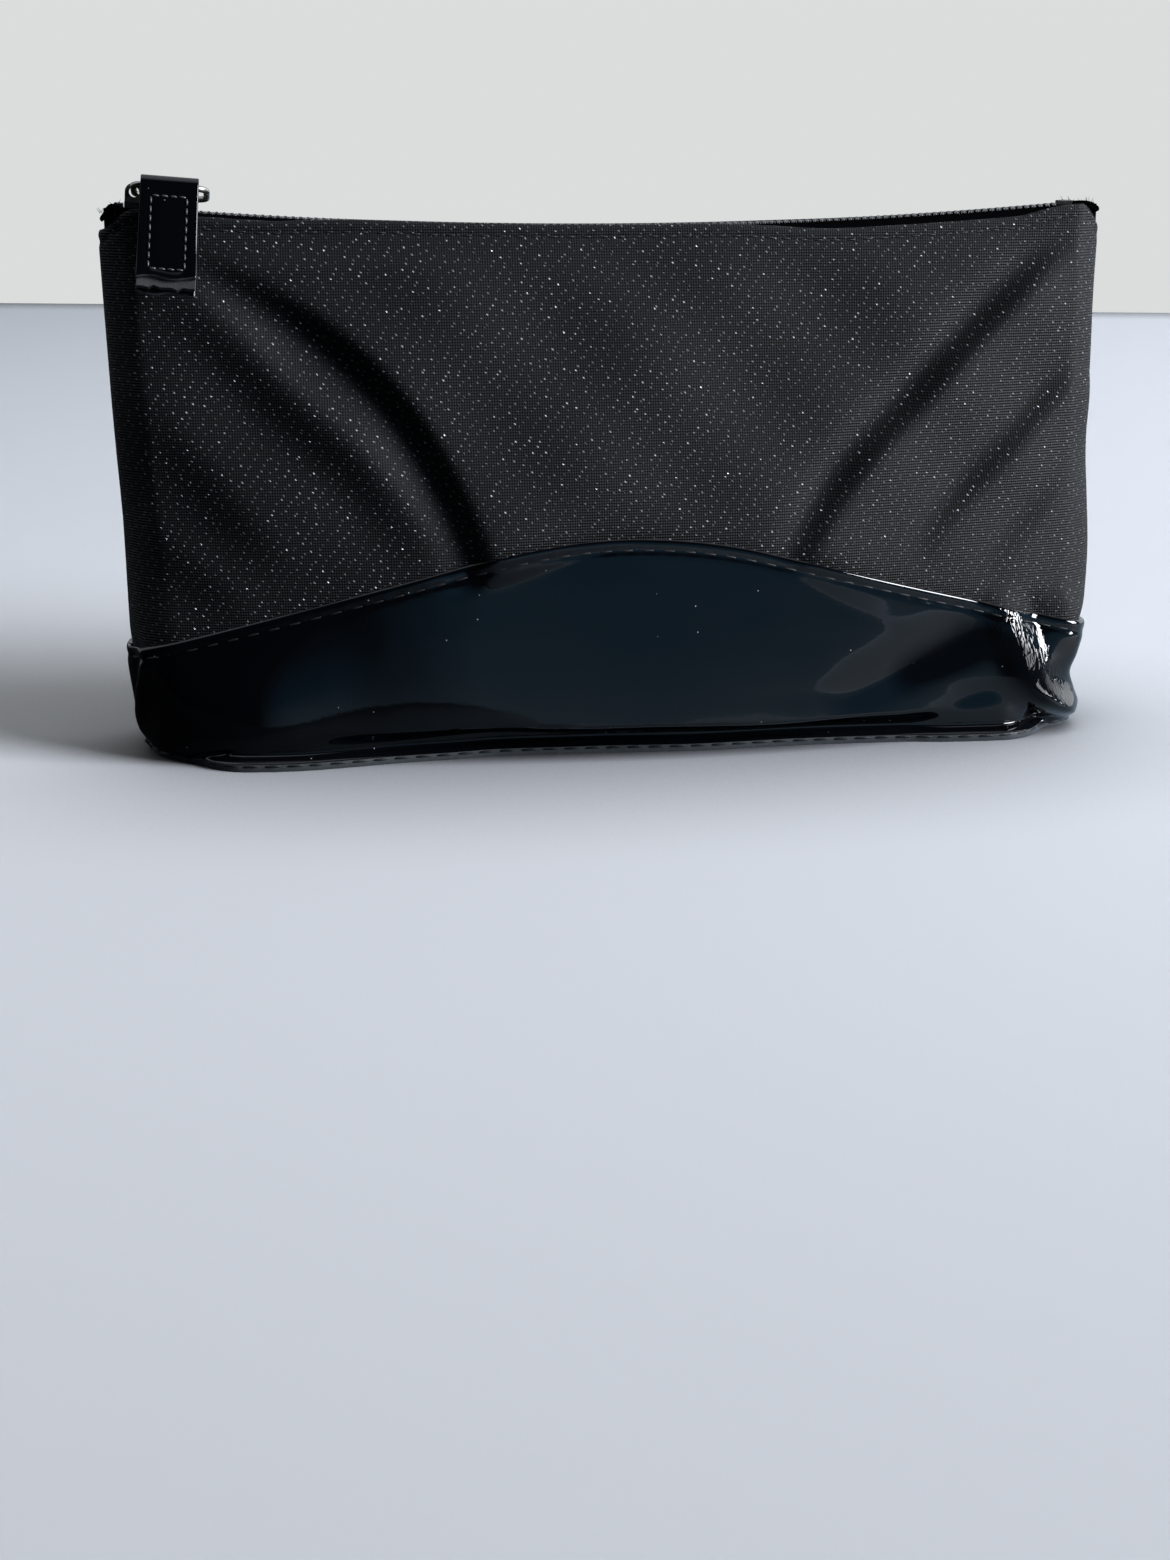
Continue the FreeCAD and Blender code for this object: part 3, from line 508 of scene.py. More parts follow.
def sineOf(tree, socket, pitch):
    turns = addNode(tree, "Math", [socket, 2 * math.pi / (pitch * metre)], operation="MULTIPLY")
    return addNode(tree, "Math", [turns], operation="SINE")


def glitterKnit():
    # polyester warp knit with fine cross ribs and a lattice of short lurex dashes, most of them dull
    # and a few that wink; the ribs are drawn at twice their real spacing so that they show
    knit = {
        "rib": 0.56, "wale": 0.5, "dash": 1.2, "stretch": 0.58, "slant": 36.0, "scatter": 0.62,
        "ground": "#020203", "paintedLitRibTop": "#0b0b0d", "lurex": "#a3a6ac",
    }
    material, tree, shader = newMaterial("glitterKnit", Roughness=0.6, Sheen_Weight=0.02,
                                         Sheen_Roughness=0.4, Specular_IOR_Level=0.22)
    place = addNode(tree, "UVMap", uv_map="clothMap")
    split = addNode(tree, "SeparateXYZ", [place])
    rib = sineOf(tree, split.outputs[1], knit["rib"])
    wale = sineOf(tree, split.outputs[0], knit["wale"])
    weave = addNode(tree, "Math", [wale, 0.3, rib], operation="MULTIPLY_ADD")
    # the dashes all slant the same way
    slant = (0, 0, math.radians(knit["slant"]))
    turned = addNode(tree, "Mapping", {"Vector": place, "Rotation": slant})
    lattice = addNode(tree, "Mapping", {"Vector": turned, "Scale": (knit["stretch"], 1.0, 1.0)})
    cells = addNode(tree, "TexVoronoi", {
        "Vector": lattice, "Scale": 1 / (knit["dash"] * metre), "Randomness": knit["scatter"],
    }, voronoi_dimensions="2D")
    dash = addNode(tree, "MapRange", [cells.outputs["Distance"], 0.06, 0.16, 1.0, 0.0])
    chance = addNode(tree, "SeparateColor", [cells.outputs["Color"]])
    rare = addNode(tree, "Math", [chance, 10.0], operation="POWER")
    bright = addNode(tree, "MapRange", [rare, 0.0, 1.0, 0.2, 0.8])
    shine = addNode(tree, "Math", [dash, bright], operation="MULTIPLY")
    # painted shade: the colour follows the ribs' height, the grooves between them darker and the tops
    # lighter
    ribShade = addNode(tree, "MapRange", [weave, -1.2, 1.2])
    ground = addNode(tree, "Mix", {0: ribShade, 6: knit["ground"], 7: knit["paintedLitRibTop"]}, data_type="RGBA")
    colour = addNode(tree, "Mix", {0: shine, 6: ground.outputs[2], 7: knit["lurex"]}, data_type="RGBA")
    rough = addNode(tree, "MapRange", [dash, 0.0, 1.0, 0.6, 0.42])
    # each dash lies at its own small tilt
    normal = addNode(tree, "NewGeometry").outputs["Normal"]
    tilt = addNode(tree, "VectorMath", [cells.outputs["Color"], (0.5, 0.5, 0.5)], operation="SUBTRACT")
    lift = addNode(tree, "VectorMath", {0: tilt, "Scale": dash}, operation="SCALE")
    leaned = addNode(tree, "VectorMath", [normal, lift], operation="ADD")
    facing = addNode(tree, "VectorMath", [leaned], operation="NORMALIZE")
    height = addNode(tree, "Math", [dash, 1.6, weave], operation="MULTIPLY_ADD")
    relief = addNode(tree, "Bump", {
        "Strength": 0.7, "Distance": 0.00008, "Height": height, "Normal": facing,
    })
    setInputs(shader, {
        "Base Color": colour.outputs[2], "Metallic": shine, "Roughness": rough, "Normal": relief,
    })
    return material


def patentLeather():
    # coated split leather: black under a thick clear film that mirrors the room, with a soft swell
    # and dust specks; the attribute "folded" cracks the film, and "hollow" is painted shade: it thins
    # the film's coat there so that it mirrors little and looks black
    film = {
        "dust": 0.0034, "swell": 0.016, "grain": 0.0011, "plate": 0.0016, "plateTurn": -32,
        "ground": "#040507", "speck": "#8d8e8f",
    }
    material, tree, shader = newMaterial("patentLeather", Roughness=0.5, IOR=1.5, Coat_Weight=1.0,
                                         Coat_Roughness=0.05, Specular_IOR_Level=0.0)
    place = addNode(tree, "TexCoord").outputs["Object"]
    dust = addNode(tree, "TexVoronoi", {"Vector": place, "Scale": 1 / film["dust"], "Randomness": 1.0})
    speck = addNode(tree, "MapRange", [dust.outputs["Distance"], 0.025, 0.05, 1.0, 0.0])
    chance = addNode(tree, "SeparateColor", [dust.outputs["Color"]])
    kept = addNode(tree, "Math", [chance, 0.45], operation="GREATER_THAN")
    mask = addNode(tree, "Math", [speck, kept], operation="MULTIPLY")
    swell = addNode(tree, "TexNoise", {"Vector": place, "Scale": 1 / film["swell"], "Detail": 1.0})
    grain = addNode(tree, "TexNoise", {"Vector": place, "Scale": 1 / film["grain"], "Detail": 2.0})
    mixed = addNode(tree, "Math", [grain, 0.02, swell], operation="MULTIPLY_ADD")
    stretched = addNode(tree, "Mapping", {
        "Vector": place, "Scale": (1.6, 1.0, 0.55), "Rotation": (0, math.radians(film["plateTurn"]), 0),
    })
    plates = addNode(tree, "TexVoronoi", {"Vector": stretched, "Scale": 1 / film["plate"]},
                     feature="DISTANCE_TO_EDGE")
    plate = addNode(tree, "MapRange", [plates.outputs["Distance"], 0.0, 0.22])
    folded = addNode(tree, "Attribute", attribute_name="folded").outputs["Fac"]
    cracks = addNode(tree, "Math", [plate, folded], operation="MULTIPLY")
    mixed = addNode(tree, "Math", [cracks, 0.5, mixed], operation="MULTIPLY_ADD")
    relief = addNode(tree, "Bump", {"Strength": 0.35, "Distance": 0.0004, "Height": mixed})
    # painted shade: where "hollow" is set the coat is taken down to a trace, so the film looks black there
    hollow = addNode(tree, "Attribute", attribute_name="hollow").outputs["Fac"]
    paintedShadeCoat = addNode(tree, "MapRange", [hollow, 0.1, 0.6, 1.0, 0.12])
    colour = addNode(tree, "Mix", {0: mask, 6: film["ground"], 7: film["speck"]}, data_type="RGBA")
    setInputs(shader, {
        "Base Color": colour.outputs[2], "Coat Normal": relief, "Coat Weight": paintedShadeCoat, "Normal": relief,
    })
    return material


def plainCloth(name, dark, light, pitch, roughness, sheen=0.1, shine=0.4):
    # woven or felted stuff whose threads show as a fine broken texture
    material, tree, shader = newMaterial(name, Roughness=roughness, Sheen_Weight=sheen,
                                         Specular_IOR_Level=shine)
    place = addNode(tree, "TexCoord").outputs["Object"]
    fibre = addNode(tree, "TexNoise", {
        "Vector": place, "Scale": 1 / (pitch * metre), "Detail": 4.0, "Roughness": 0.7,
    })
    relief = addNode(tree, "Bump", {"Strength": 0.7, "Distance": 0.0001, "Height": fibre})
    colour = addNode(tree, "Mix", {0: fibre, 6: dark, 7: light}, data_type="RGBA")
    setInputs(shader, {"Base Color": colour.outputs[2], "Normal": relief})
    return material


def wornMetal(name, colour, roughness, smear):
    # plated zinc or steel: bright, with rubbed patches that dull its shine
    material, tree, shader = newMaterial(name, Metallic=1.0, Roughness=roughness, Base_Color=colour)
    place = addNode(tree, "TexCoord").outputs["Object"]
    rub = addNode(tree, "TexNoise", {"Vector": place, "Scale": 1 / 0.0014, "Detail": 3.0})
    dull = addNode(tree, "MapRange", [rub, 0.0, 1.0, roughness, roughness + smear])
    setInputs(shader, {"Roughness": dull})
    return material


glitter = glitterKnit()
patent = patentLeather()
felt = plainCloth("needledFelt", "#1a1a1c", "#48484b", 0.35, 0.95, 0.0, 0.1)
satin = plainCloth("satinLining", "#111114", "#1d1d21", 0.25, 0.5)
thread = plainCloth("polyesterThread", "#040405", "#18181a", 0.3, 0.5, 0.0, 0.3)
glossThread = plainCloth("glossThread", "#0c0c0e", "#4c4c50", 0.9, 0.3, 0.0)
tape = plainCloth("zipTapeWeave", "#020203", "#09090a", 0.4, 0.9, 0.0, 0.0)
cutEdge = plainCloth("cutLeatherEdge", "#101012", "#4c4c4e", 0.3, 0.9, 0.0)
greyEdge = plainCloth("paintedEdge", "#25282a", "#43474a", 0.9, 0.4, 0.0)
nylon = newMaterial("nylonCoil", Roughness=0.2, IOR=1.53, Specular_IOR_Level=1.0, Base_Color="#070708")[0]
gunmetal = wornMetal("gunmetalPlate", "#34332f", 0.3, 0.3)
nickel = wornMetal("nickelWire", "#a9a69f", 0.16, 0.25)
print("materials ready")


walls = ((-1, "front"), (1, "back"))

# glitter cloth, front and back; hemRows is the share of the rows packed into the hemBand at the top
clothSettings = {
    "columns": 190, "rows": 88, "lap": 3.0, "hemRows": 0.16, "hemBand": 5.0, "hemGroove": 2.4,
    "grooveReach": 0.7, "hemPitch": 3.4,
}


def clothPlace(side, lap):
    rows, band = clothSettings["hemRows"], clothSettings["hemBand"]

    def place(s, t):
        across = -s * side
        low = levelAt(across, archHeight, 40) - lap
        high = levelAt(across, lambda x: hemHeight(side, x), 106)
        z = low + (high - low) * np.where(
            t > 1 - rows,
            1 - (1 - t) / rows * band / (high - low),
            t / (1 - rows) * (1 - band / (high - low)),
        )
        fromHem = high - z
        groove = 0.34 * hill(fromHem, clothSettings["hemGroove"], clothSettings["grooveReach"])
        # the folded hem is rounded, and the cloth dips where its stitches pull
        roll = 0.5 * np.exp(-fromHem / 0.5)
        run = ovalPoint(across, z)[4]
        pull = 0.6 + 0.4 * np.cos(run * 2 * math.pi / clothSettings["hemPitch"])
        fromArch = z - (low + lap)
        dip = 0.5 * np.exp(-np.maximum(fromArch, 0) / 1.6)
        x, y, run = wallPoint(side, across, z, groove * pull + roll + dip)
        return x, y, z, run, z * 1.02
    return place


def makeCloth(side, word):
    sheet = gridSheet(word + "GlitterCloth", clothSettings["columns"], clothSettings["rows"],
                      clothPlace(side, clothSettings["lap"]))
    thicken(sheet, bag["panelSheet"], soften=0.28)
    finishPiece(sheet, [glitter], "bag", [word + "_upper_panel"])


# patent panels, lapped over the cloth along the arch

# edge and foot hold the height of a band of packed rows and its share of all rows; "folded", the
# crease of the front's right corner, and "hollow", the painted shade beside it, are lines of x, z and
# strength with the reach of their effect
patentSettings = {
    "columns": 196, "rows": 66, "stitchLine": 2.2, "stitchPitch": 4.3, "floor": 0.6,
    "edge": (4.6, 0.22), "foot": (7.0, 0.34),
    "folded": (2.6, [(79.5, 29, 0), (81, 26, 0.9), (87, 18.5, 1), (92.5, 11, 0.9), (94.5, 5, 0.4)]),
    "hollow": (4.2, [(53, 13, 0), (60, 14.5, 0.7), (69, 17.5, 1), (77, 20, 1), (84, 16, 1), (89, 10, 0.6)]),
}


def patentPlace(side):
    def place(s, t):
        across = -s * side
        high = levelAt(across, archHeight, 40)
        low = np.full(np.shape(s), patentSettings["floor"])
        z = high - spread(1 - t, patentSettings["edge"], patentSettings["foot"], high - low)
        fromEdge = high - z
        groove = 0.26 * hill(fromEdge, patentSettings["stitchLine"], 0.8)
        run = ovalPoint(across, z)[4]
        pull = 0.85 + 0.15 * np.cos(run * 2 * math.pi / patentSettings["stitchPitch"])
        roll = 0.35 * np.exp(-fromEdge / 0.35)
        proud = bag["patentProud"] * (0.15 + 0.85 * softStep(0, 6, z))
        x, y, run = wallPoint(side, across, z, groove * pull + roll - proud)
        return x, y, z, run, z
    return place


def makePatent(side, word):
    sheet = gridSheet(word + "PatentPanel", patentSettings["columns"], patentSettings["rows"],
                      patentPlace(side))
    if side < 0:
        # how strongly the film is folded, and where shade is painted into it by a thinner coat in the
        # hollow beside the fold
        at = np.array([v.co for v in sheet.data.vertices]) / metre
        for name in ("folded", "hollow"):
            reach, points = patentSettings[name]
            mask = fold(at[:, 0], at[:, 2], 1.0, reach, reach, 0.0, spineOf(points))
            values = sheet.data.attributes.new(name, "FLOAT", "POINT").data
            values.foreach_set("value", np.clip(mask, 0, 1))
    thicken(sheet, bag["panelSheet"], soften=0.25)
    finishPiece(sheet, [patent], "bag", [word + "_patent_panel"])


# padding and lining inside the walls, each from a little above the floor to a drop below the hem
layerSettings = {"columns": 110, "rows": 60, "gap": 0.05, "reach": 0.985}


def layerPlace(side, inset, floor, drop):
    def place(s, t):
        across = -s * side
        high = levelAt(across, lambda x: hemHeight(side, x), 106) - drop
        z = floor + (high - floor) * t
        x, y, run = wallPoint(side, across * layerSettings["reach"], z, inset)
        return x, y, z, run, z
    return place


def makeLayers(side, word):
    columns, rows, gap = (layerSettings[key] for key in ("columns", "rows", "gap"))
    inset = bag["panelSheet"]
    padding = gridSheet(word + "Interlining", columns, rows, layerPlace(side, inset + gap, 2.2, 8.8))
    thicken(padding, bag["feltSheet"] - 0.1)
    finishPiece(padding, [felt], "bag", [word + "_interlining"])
    inset = inset + bag["feltSheet"]
    inner = gridSheet(word + "Lining", columns, rows, layerPlace(side, inset + gap, 2.6, 1.6))
    thicken(inner, bag["liningSheet"] - 0.1)
    finishPiece(inner, [satin], "bag", [word + "_lining"])


# base

baseSettings = {"columns": 150, "rows": 20, "rimLevel": 0.7, "reach": 0.9999}


def basePlace(level, grow):
    def place(s, t):
        z = np.full(np.shape(s), baseSettings["rimLevel"])
        xFront, yFront, _ = wallPoint(-1, s * baseSettings["reach"], z, -grow)
        xBack, yBack, _ = wallPoint(1, s * baseSettings["reach"], z, -grow)
        x = xFront + (xBack - xFront) * t
        y = yFront + (yBack - yFront) * t
        return x, y, np.full(np.shape(s), level), x, y
    return place


def makeBase():
    # top level, how far past the wall, thickness, softened rim, flat size, materials, slot, node
    for name, level, grow, thickness, soften, flat, materials, slot, node in (
        ("basePatent", 1.5, 0.35, 1.46, 0.15, (0.196, 0.039), [patent, greyEdge], "patent", "base_panel"),
        ("baseInterlining", 2.1, -4.2, 0.55, 0, (0.186, 0.031), [felt, felt], "felt", "base_interlining"),
        ("baseLining", 2.4, -4.4, 0.25, 0, (0.185, 0.03), [satin, satin], "lining", "base_lining"),
    ):
        sheet = gridSheet(name, baseSettings["columns"], baseSettings["rows"], basePlace(level, grow))
        thicken(sheet, thickness, rim=1, soften=soften)
        finishPiece(sheet, materials, "bag", [node])


for side, word in walls:
    makeCloth(side, word)
    makePatent(side, word)
    makeLayers(side, word)
makeBase()
print("walls and base done")


# stitches

def stitchTemplate(length, width):
    # one stitch: a short thread that rises from its holes, fattest in the middle
    pick()
    bpy.ops.mesh.primitive_cylinder_add(vertices=6, radius=0.5, depth=1, end_fill_type="NOTHING",
                                        rotation=(0, math.pi / 2, 0))
    bpy.ops.object.transform_apply(rotation=True)
    stitch = bpy.context.object
    reshape(*(
        (bpy.ops.mesh.bisect, {"plane_co": (cutAt, 0, 0), "plane_no": (1, 0, 0)})
        for cutAt in (0, -0.4, -0.22, 0.22, 0.4)
    ))
    for vertex in stitch.data.vertices:
        along = vertex.co.x * 2
        thick = 0.62 + 0.38 * (1 - along ** 2)
        vertex.co.y *= thick * width
        vertex.co.z = vertex.co.z * thick * width - 0.42 * width * along ** 4 * 2
        vertex.co.x *= length
    return stitch


def stitchRow(name, points, normals, length, width):
    # copies of one stitch, each laid between two neighbouring points of a line
    template = stitchTemplate(length, width)
    base = np.array([v.co for v in template.data.vertices])
    faces = [tuple(p.vertices) for p in template.data.polygons]
    vertices, polygons = [], []
    for k in range(len(points) - 1):
        a, b = Vector(points[k]), Vector(points[k + 1])
        along = (b - a).normalized()
        up = Vector(normals[k]).normalized()
        across = up.cross(along).normalized()
        up = along.cross(across)
        middle = (a + b) / 2
        start = len(vertices)
        for corner in base:
            vertices.append((middle + along * corner[0] + across * corner[1] + up * corner[2]) * metre)
        polygons.extend(tuple(start + i for i in face) for face in faces)
    row = template.copy()
    row.data = bpy.data.meshes.new(name)
    row.data.from_pydata(vertices, [], polygons)
    row.name = name
    bpy.context.scene.collection.objects.link(row)
    bpy.data.objects.remove(template)
    pick(row)
    bpy.ops.object.shade_smooth()
    return row


def lineOnWall(side, heightAt, start, pitch, inset, reach):
    # points every `pitch` along a line on the wall, with the wall's outward direction at each
    samples, climbStep, firstHole = 4000, 0.4, 0.4
    s = np.linspace(-reach, reach, samples)
    z = levelAt(s, heightAt, start)
    x, y, _ = wallPoint(side, s, z, inset)
    steps = np.sqrt(np.diff(x) ** 2 + np.diff(y) ** 2 + np.diff(z) ** 2)
    run = np.concatenate([[0], np.cumsum(steps)])
    stops = np.arange(firstHole, run[-1], pitch)
    at = np.interp(stops, run, s)
    level = np.interp(stops, run, z)
    px, py, _ = wallPoint(side, at, level, inset)
    qx, qy, _ = wallPoint(side, at, level, inset - 1)
    rx, ry, _ = wallPoint(side, at, level + climbStep, inset)
    points = np.stack([px, py, level], axis=1)
    outward = np.stack([qx - px, qy - py, np.zeros(len(at))], axis=1)
    climb = np.stack([rx - px, ry - py, np.full(len(at), climbStep)], axis=1)
    sideways = np.cross(outward, climb)
    normal = np.cross(climb, sideways)
    return points, normal


for side, word in walls:
    points, normals = lineOnWall(side, lambda x: hemHeight(side, x) - clothSettings["hemGroove"], 104,
                                 clothSettings["hemPitch"], 0.22, 0.97)
    row = stitchRow(word + "HemStitches", points, normals, 2.7, 0.42)
    finishPiece(row, [thread], "bag", [word + "_edge_stitching"])
    points, normals = lineOnWall(side, lambda x: archHeight(x) - patentSettings["stitchLine"], 38,
                                 patentSettings["stitchPitch"], 0.28 - bag["patentProud"], 0.97)
    row = stitchRow(word + "ArchStitches", points, normals, 3.5, 0.5)
    finishPiece(row, [thread], "bag", [word + "_seam_stitching"])
print("stitches done")


# zip: two coils, woven tapes and folded tape ends

zipper = {
    "pitch": 1.5, "wire": 0.33, "inner": 0.62, "outer": 2.62, "rise": 0.55, "perTurn": 12,
    "left": coilBox[0][0] + 0.4, "right": coilBox[1][0] - 0.4,
    "tapeSheet": 0.45, "tapeReach": 0.965, "webShare": 0.55, "leg": 8.0,
}
endFold = {"curl": 0.55, "bend": 0.35, "halfWidth": 4.1, "sheet": 0.35, "hairs": 16}


def makeCoil(side, word):
    # one filament wound as a flat helix, its heads swollen where they meet the other row
    turns = (zipper["right"] - zipper["left"]) / zipper["pitch"]
    count = int(turns * zipper["perTurn"])
    bpy.ops.curve.primitive_bezier_curve_add()
    pick()
    wire = bpy.context.view_layer.objects.active
    curve = wire.data
    curve.splines.clear()
    spline = curve.splines.new("POLY")
    spline.points.add(count - 1)
    middle = (zipper["inner"] + zipper["outer"]) / 2
    half = (zipper["outer"] - zipper["inner"]) / 2
    for k in range(count):
        turn = k / zipper["perTurn"] * 2 * math.pi + (math.pi if side > 0 else 0)
        x = zipper["left"] + k / zipper["perTurn"] * zipper["pitch"]
        c, s = math.cos(turn), math.sin(turn)
        across = middle + half * math.copysign(abs(c) ** 0.7, c)
        lift = zipper["rise"] * math.copysign(abs(s) ** 0.8, s)
        level = float(chainHeight(x)) + lift
        spline.points[k].co = (x * metre, side * across * metre, level * metre, 1)
        spline.points[k].radius = 1 + 0.25 * max(0, -c)
    curve.dimensions = "3D"
    curve.bevel_depth = zipper["wire"] * metre
    curve.bevel_resolution = 1
    curve.use_fill_caps = True
    pick(wire)
    bpy.ops.object.convert(target="MESH")
    wire = bpy.context.object
    wire.name = word + "NylonCoil"
    bpy.ops.object.shade_smooth()
    finishPiece(wire, [nylon], "bag", ["zip_coil_" + word])


def makeTape(side, word):
    reach, webShare = zipper["tapeReach"], zipper["webShare"]

    def place(s, t):
        across = -s * side * reach
        x = across * bag["halfTop"] / reach * 0.985
        level = chainHeight(x)
        hem = hemHeight(side, x)
        yWall = np.abs(wallPoint(side, across, np.minimum(level, hem) - 1.0, bag["panelSheet"] + 0.15)[1])
        inner = np.minimum(zipper["outer"] - 0.1, yWall - 0.2)
        turn = np.clip((webShare - t) / webShare, 0, 1)
        web = inner + (yWall - 0.25 - inner) * (1 - turn)
        sag = (level - np.minimum(level, hem - 0.5)) * (1 - turn) ** 1.5
        leg = np.clip((t - webShare) / (1 - webShare), 0, 1) * zipper["leg"]
        z = level - sag + 0.1 * np.sin(x * 0.9) * (1 - turn) - leg
        bend = softStep(0.0, 0.2, leg / zipper["leg"])
        yLeg = np.abs(wallPoint(side, across, z, bag["panelSheet"] + 0.25)[1])
        y = web * (1 - bend) + yLeg * bend
        return x, side * y, z, x, y - z

    sheet = gridSheet(word + "ZipTape", 180, 16, place)
    thicken(sheet, zipper["tapeSheet"], soften=0.1)
    finishPiece(sheet, [tape], "bag", ["zip_tape_" + word])


def makeEndFold(end, word):
    # the tape's end, turned back on itself and frayed
    box = boxOf("zip_end_fold_" + word)
    tip, root = (box[0][0] - 0.5, box[0][0] + 3.4) if end < 0 else (box[1][0], box[0][0])
    span = abs(tip - root)

    curl, bend = endFold["curl"], endFold["bend"]

    def place(s, t):
        turn = (t - 0.5) * 2
        inBend = np.abs(turn) < bend
        angle = turn / bend * math.pi / 2
        along = np.where(inBend, span - curl + curl * np.cos(angle),
                         (span - curl) * (1 - (np.abs(turn) - bend) / (1 - bend)))
        lift = curl * np.where(inBend, np.sin(angle), np.sign(turn))
        x = root + end * along
        width = endFold["halfWidth"] - 1.4 * softStep(span * 0.55, span, along)
        z = chainHeight(x) + 0.2 + lift + 0.18 * np.sin(s * 3 + along)
        z = z - 2.4 * softStep(span * 0.3, span, along) ** 2 * (1 if end < 0 else 0.55)
        return x, s * width, z, s * width, along + turn

    sheet = gridSheet(word + "TapeEndFold", 20, 24, place, outwards=end > 0)
    thicken(sheet, endFold["sheet"])
    hairs = []
    for _ in range(endFold["hairs"]):
        start = Vector((root + end * random.uniform(0.2, span), random.uniform(-3.6, 3.2), 0))
        fall = (1.6 if end < 0 else 0.8) * abs(start.x - root) / span
        start.z = float(chainHeight(start.x)) + 0.5 - fall
        lean = Vector((random.uniform(-0.8, 0.8), random.uniform(-0.6, 0.6), random.uniform(0.7, 1.2)))
        pick()
        bpy.ops.mesh.primitive_cone_add(vertices=4, radius1=0.07 * metre, radius2=0.02 * metre, depth=metre)
        hair = bpy.context.object
        length = random.uniform(0.8, 1.9)
        turn = lean.to_track_quat("Z", "Y").to_matrix()
        for vertex in hair.data.vertices:
            x, y, z = vertex.co / metre
            up = z + 0.5
            vertex.co = (start + turn @ Vector((x + 0.3 * up * up, y, up * length))) * metre
        hairs.append(hair)
    sheet = join(word + "TapeEndFold", [sheet, *hairs])
    finishPiece(sheet, [tape], "bag", ["zip_end_fold_" + word])


for side, word in walls:
    makeCoil(side, word)
    makeTape(side, word)
makeEndFold(-1, "left")
makeEndFold(1, "right")
print("zip done")


# stitches round the base's flange

baseStitch = {"level": 1.2, "pitch": 4.4, "length": 3.4, "width": 0.45, "inset": -0.5, "reach": 0.995}
baseRows = []
for side in (-1, 1):
    points, normals = lineOnWall(side, lambda x: np.full(np.shape(x), baseStitch["level"]),
                                 baseStitch["level"], baseStitch["pitch"], baseStitch["inset"],
                                 baseStitch["reach"])
    baseRows.append(stitchRow(f"baseRow{side}", points, normals, baseStitch["length"], baseStitch["width"]))
finishPiece(join("baseStitches", baseRows), [thread], "bag", ["base_stitching"])


# pull tab: a strap folded over the ring's front bar, with a filler between its plies

tab = {
    "lean": math.radians(24), "leather": 1.1, "fold": 0.78, "width": 11.0, "front": 19.2, "filler": 20.8,
    "back": 21.5, "stitchSide": 2.1, "stitchTop": -2.8, "stitchFoot": 1.7, "stitchPitch": 1.9,
    "stitchLength": 1.5, "thread": 0.45, "groove": 0.55,
}
bar = Vector(joints["tab_swing"]["pos_m"]) / metre
alongBar = -Vector(joints["tab_swing"]["axis"]).normalized()
outOfBag = Vector((0, -1, 0))
upright = outOfBag.cross(alongBar).normalized() * -1
upright = upright if upright.z > 0 else -upright
tabUp = (upright * math.cos(tab["lean"]) - outOfBag * math.sin(tab["lean"])).normalized()
tabOut = (outOfBag * math.cos(tab["lean"]) + upright * math.sin(tab["lean"])).normalized()
tabFrame = np.array([alongBar, tabOut, tabUp])


def inTab(across, out, up):
    points = np.outer(across, tabFrame[0]) + np.outer(out, tabFrame[1]) + np.outer(up, tabFrame[2])
    points = points + np.array(bar)
    return points[:, 0], points[:, 1], points[:, 2]


def tabCurl(across, up):
    # the cut ends curl forwards, most at their sides
    low = softStep(10, 21, -up) ** 2
    return 0.55 * low + 0.35 * low * (np.abs(across) / 5.5) ** 2


def tabFlare(across, up):
    return across * (1 + 0.03 * softStep(2, 20, -up))


def makeStrap():
    outer = tab["fold"] + tab["leather"]
    front, back = tab["front"], tab["back"]
    arc = math.pi * outer
    total = front + arc + back

    def place(s, t):
        run = t * total
        turn = np.clip((run - front) / arc, 0, 1) * math.pi
        out = outer * np.cos(turn)
        up = outer * np.sin(turn)
        up = np.where(run < front, run - front, up)
        up = np.where(run > front + arc, -(run - front - arc), up)
        across = s * tab["width"] / 2
        edgeIn = tab["width"] / 2 - np.abs(across)
        foot = np.where(run < front, run, 30.0)
        # a puffed middle inside the row of stitches, and a rim that they pull in
        stitchSide, stitchTop, stitchFoot = (tab[key] for key in ("stitchSide", "stitchTop", "stitchFoot"))
        plump = 0.1 * softStep(stitchSide, stitchSide + 2.2, edgeIn) * softStep(2.4, 5.0, -up)
        plump = plump * softStep(stitchFoot, stitchFoot + 1.8, foot)
        crosswise = softStep(1.8, 2.4, edgeIn)
        dent = 0.1 * hill(edgeIn, stitchSide, tab["groove"])
        dent = dent * softStep(-stitchTop - 0.6, -stitchTop + 0.4, -up)
        dent = np.maximum(dent, 0.1 * hill(up, stitchTop, tab["groove"]) * crosswise)
        dent = np.maximum(dent, 0.12 * hill(foot, stitchFoot, tab["groove"]) * crosswise)
        sign = np.where(turn > math.pi / 2, -1, 1)
        # the cut ends wander a little
        wander = 0.3 * np.sin(across * 0.8 + 0.6) * softStep(10, 21, -up) * sign
        out = out + sign * (plump - dent) + tabCurl(across, up)
        x, y, z = inTab(tabFlare(across, up), out, up - wander)
        return x, y, z, across, run

    strap = gridSheet("pullTabStrap", 40, 110, place)
    thicken(strap, tab["leather"], rim=1, soften=0.2)
    finishPiece(strap, [patent, cutEdge], "tab", ["pull_tab_strap"])


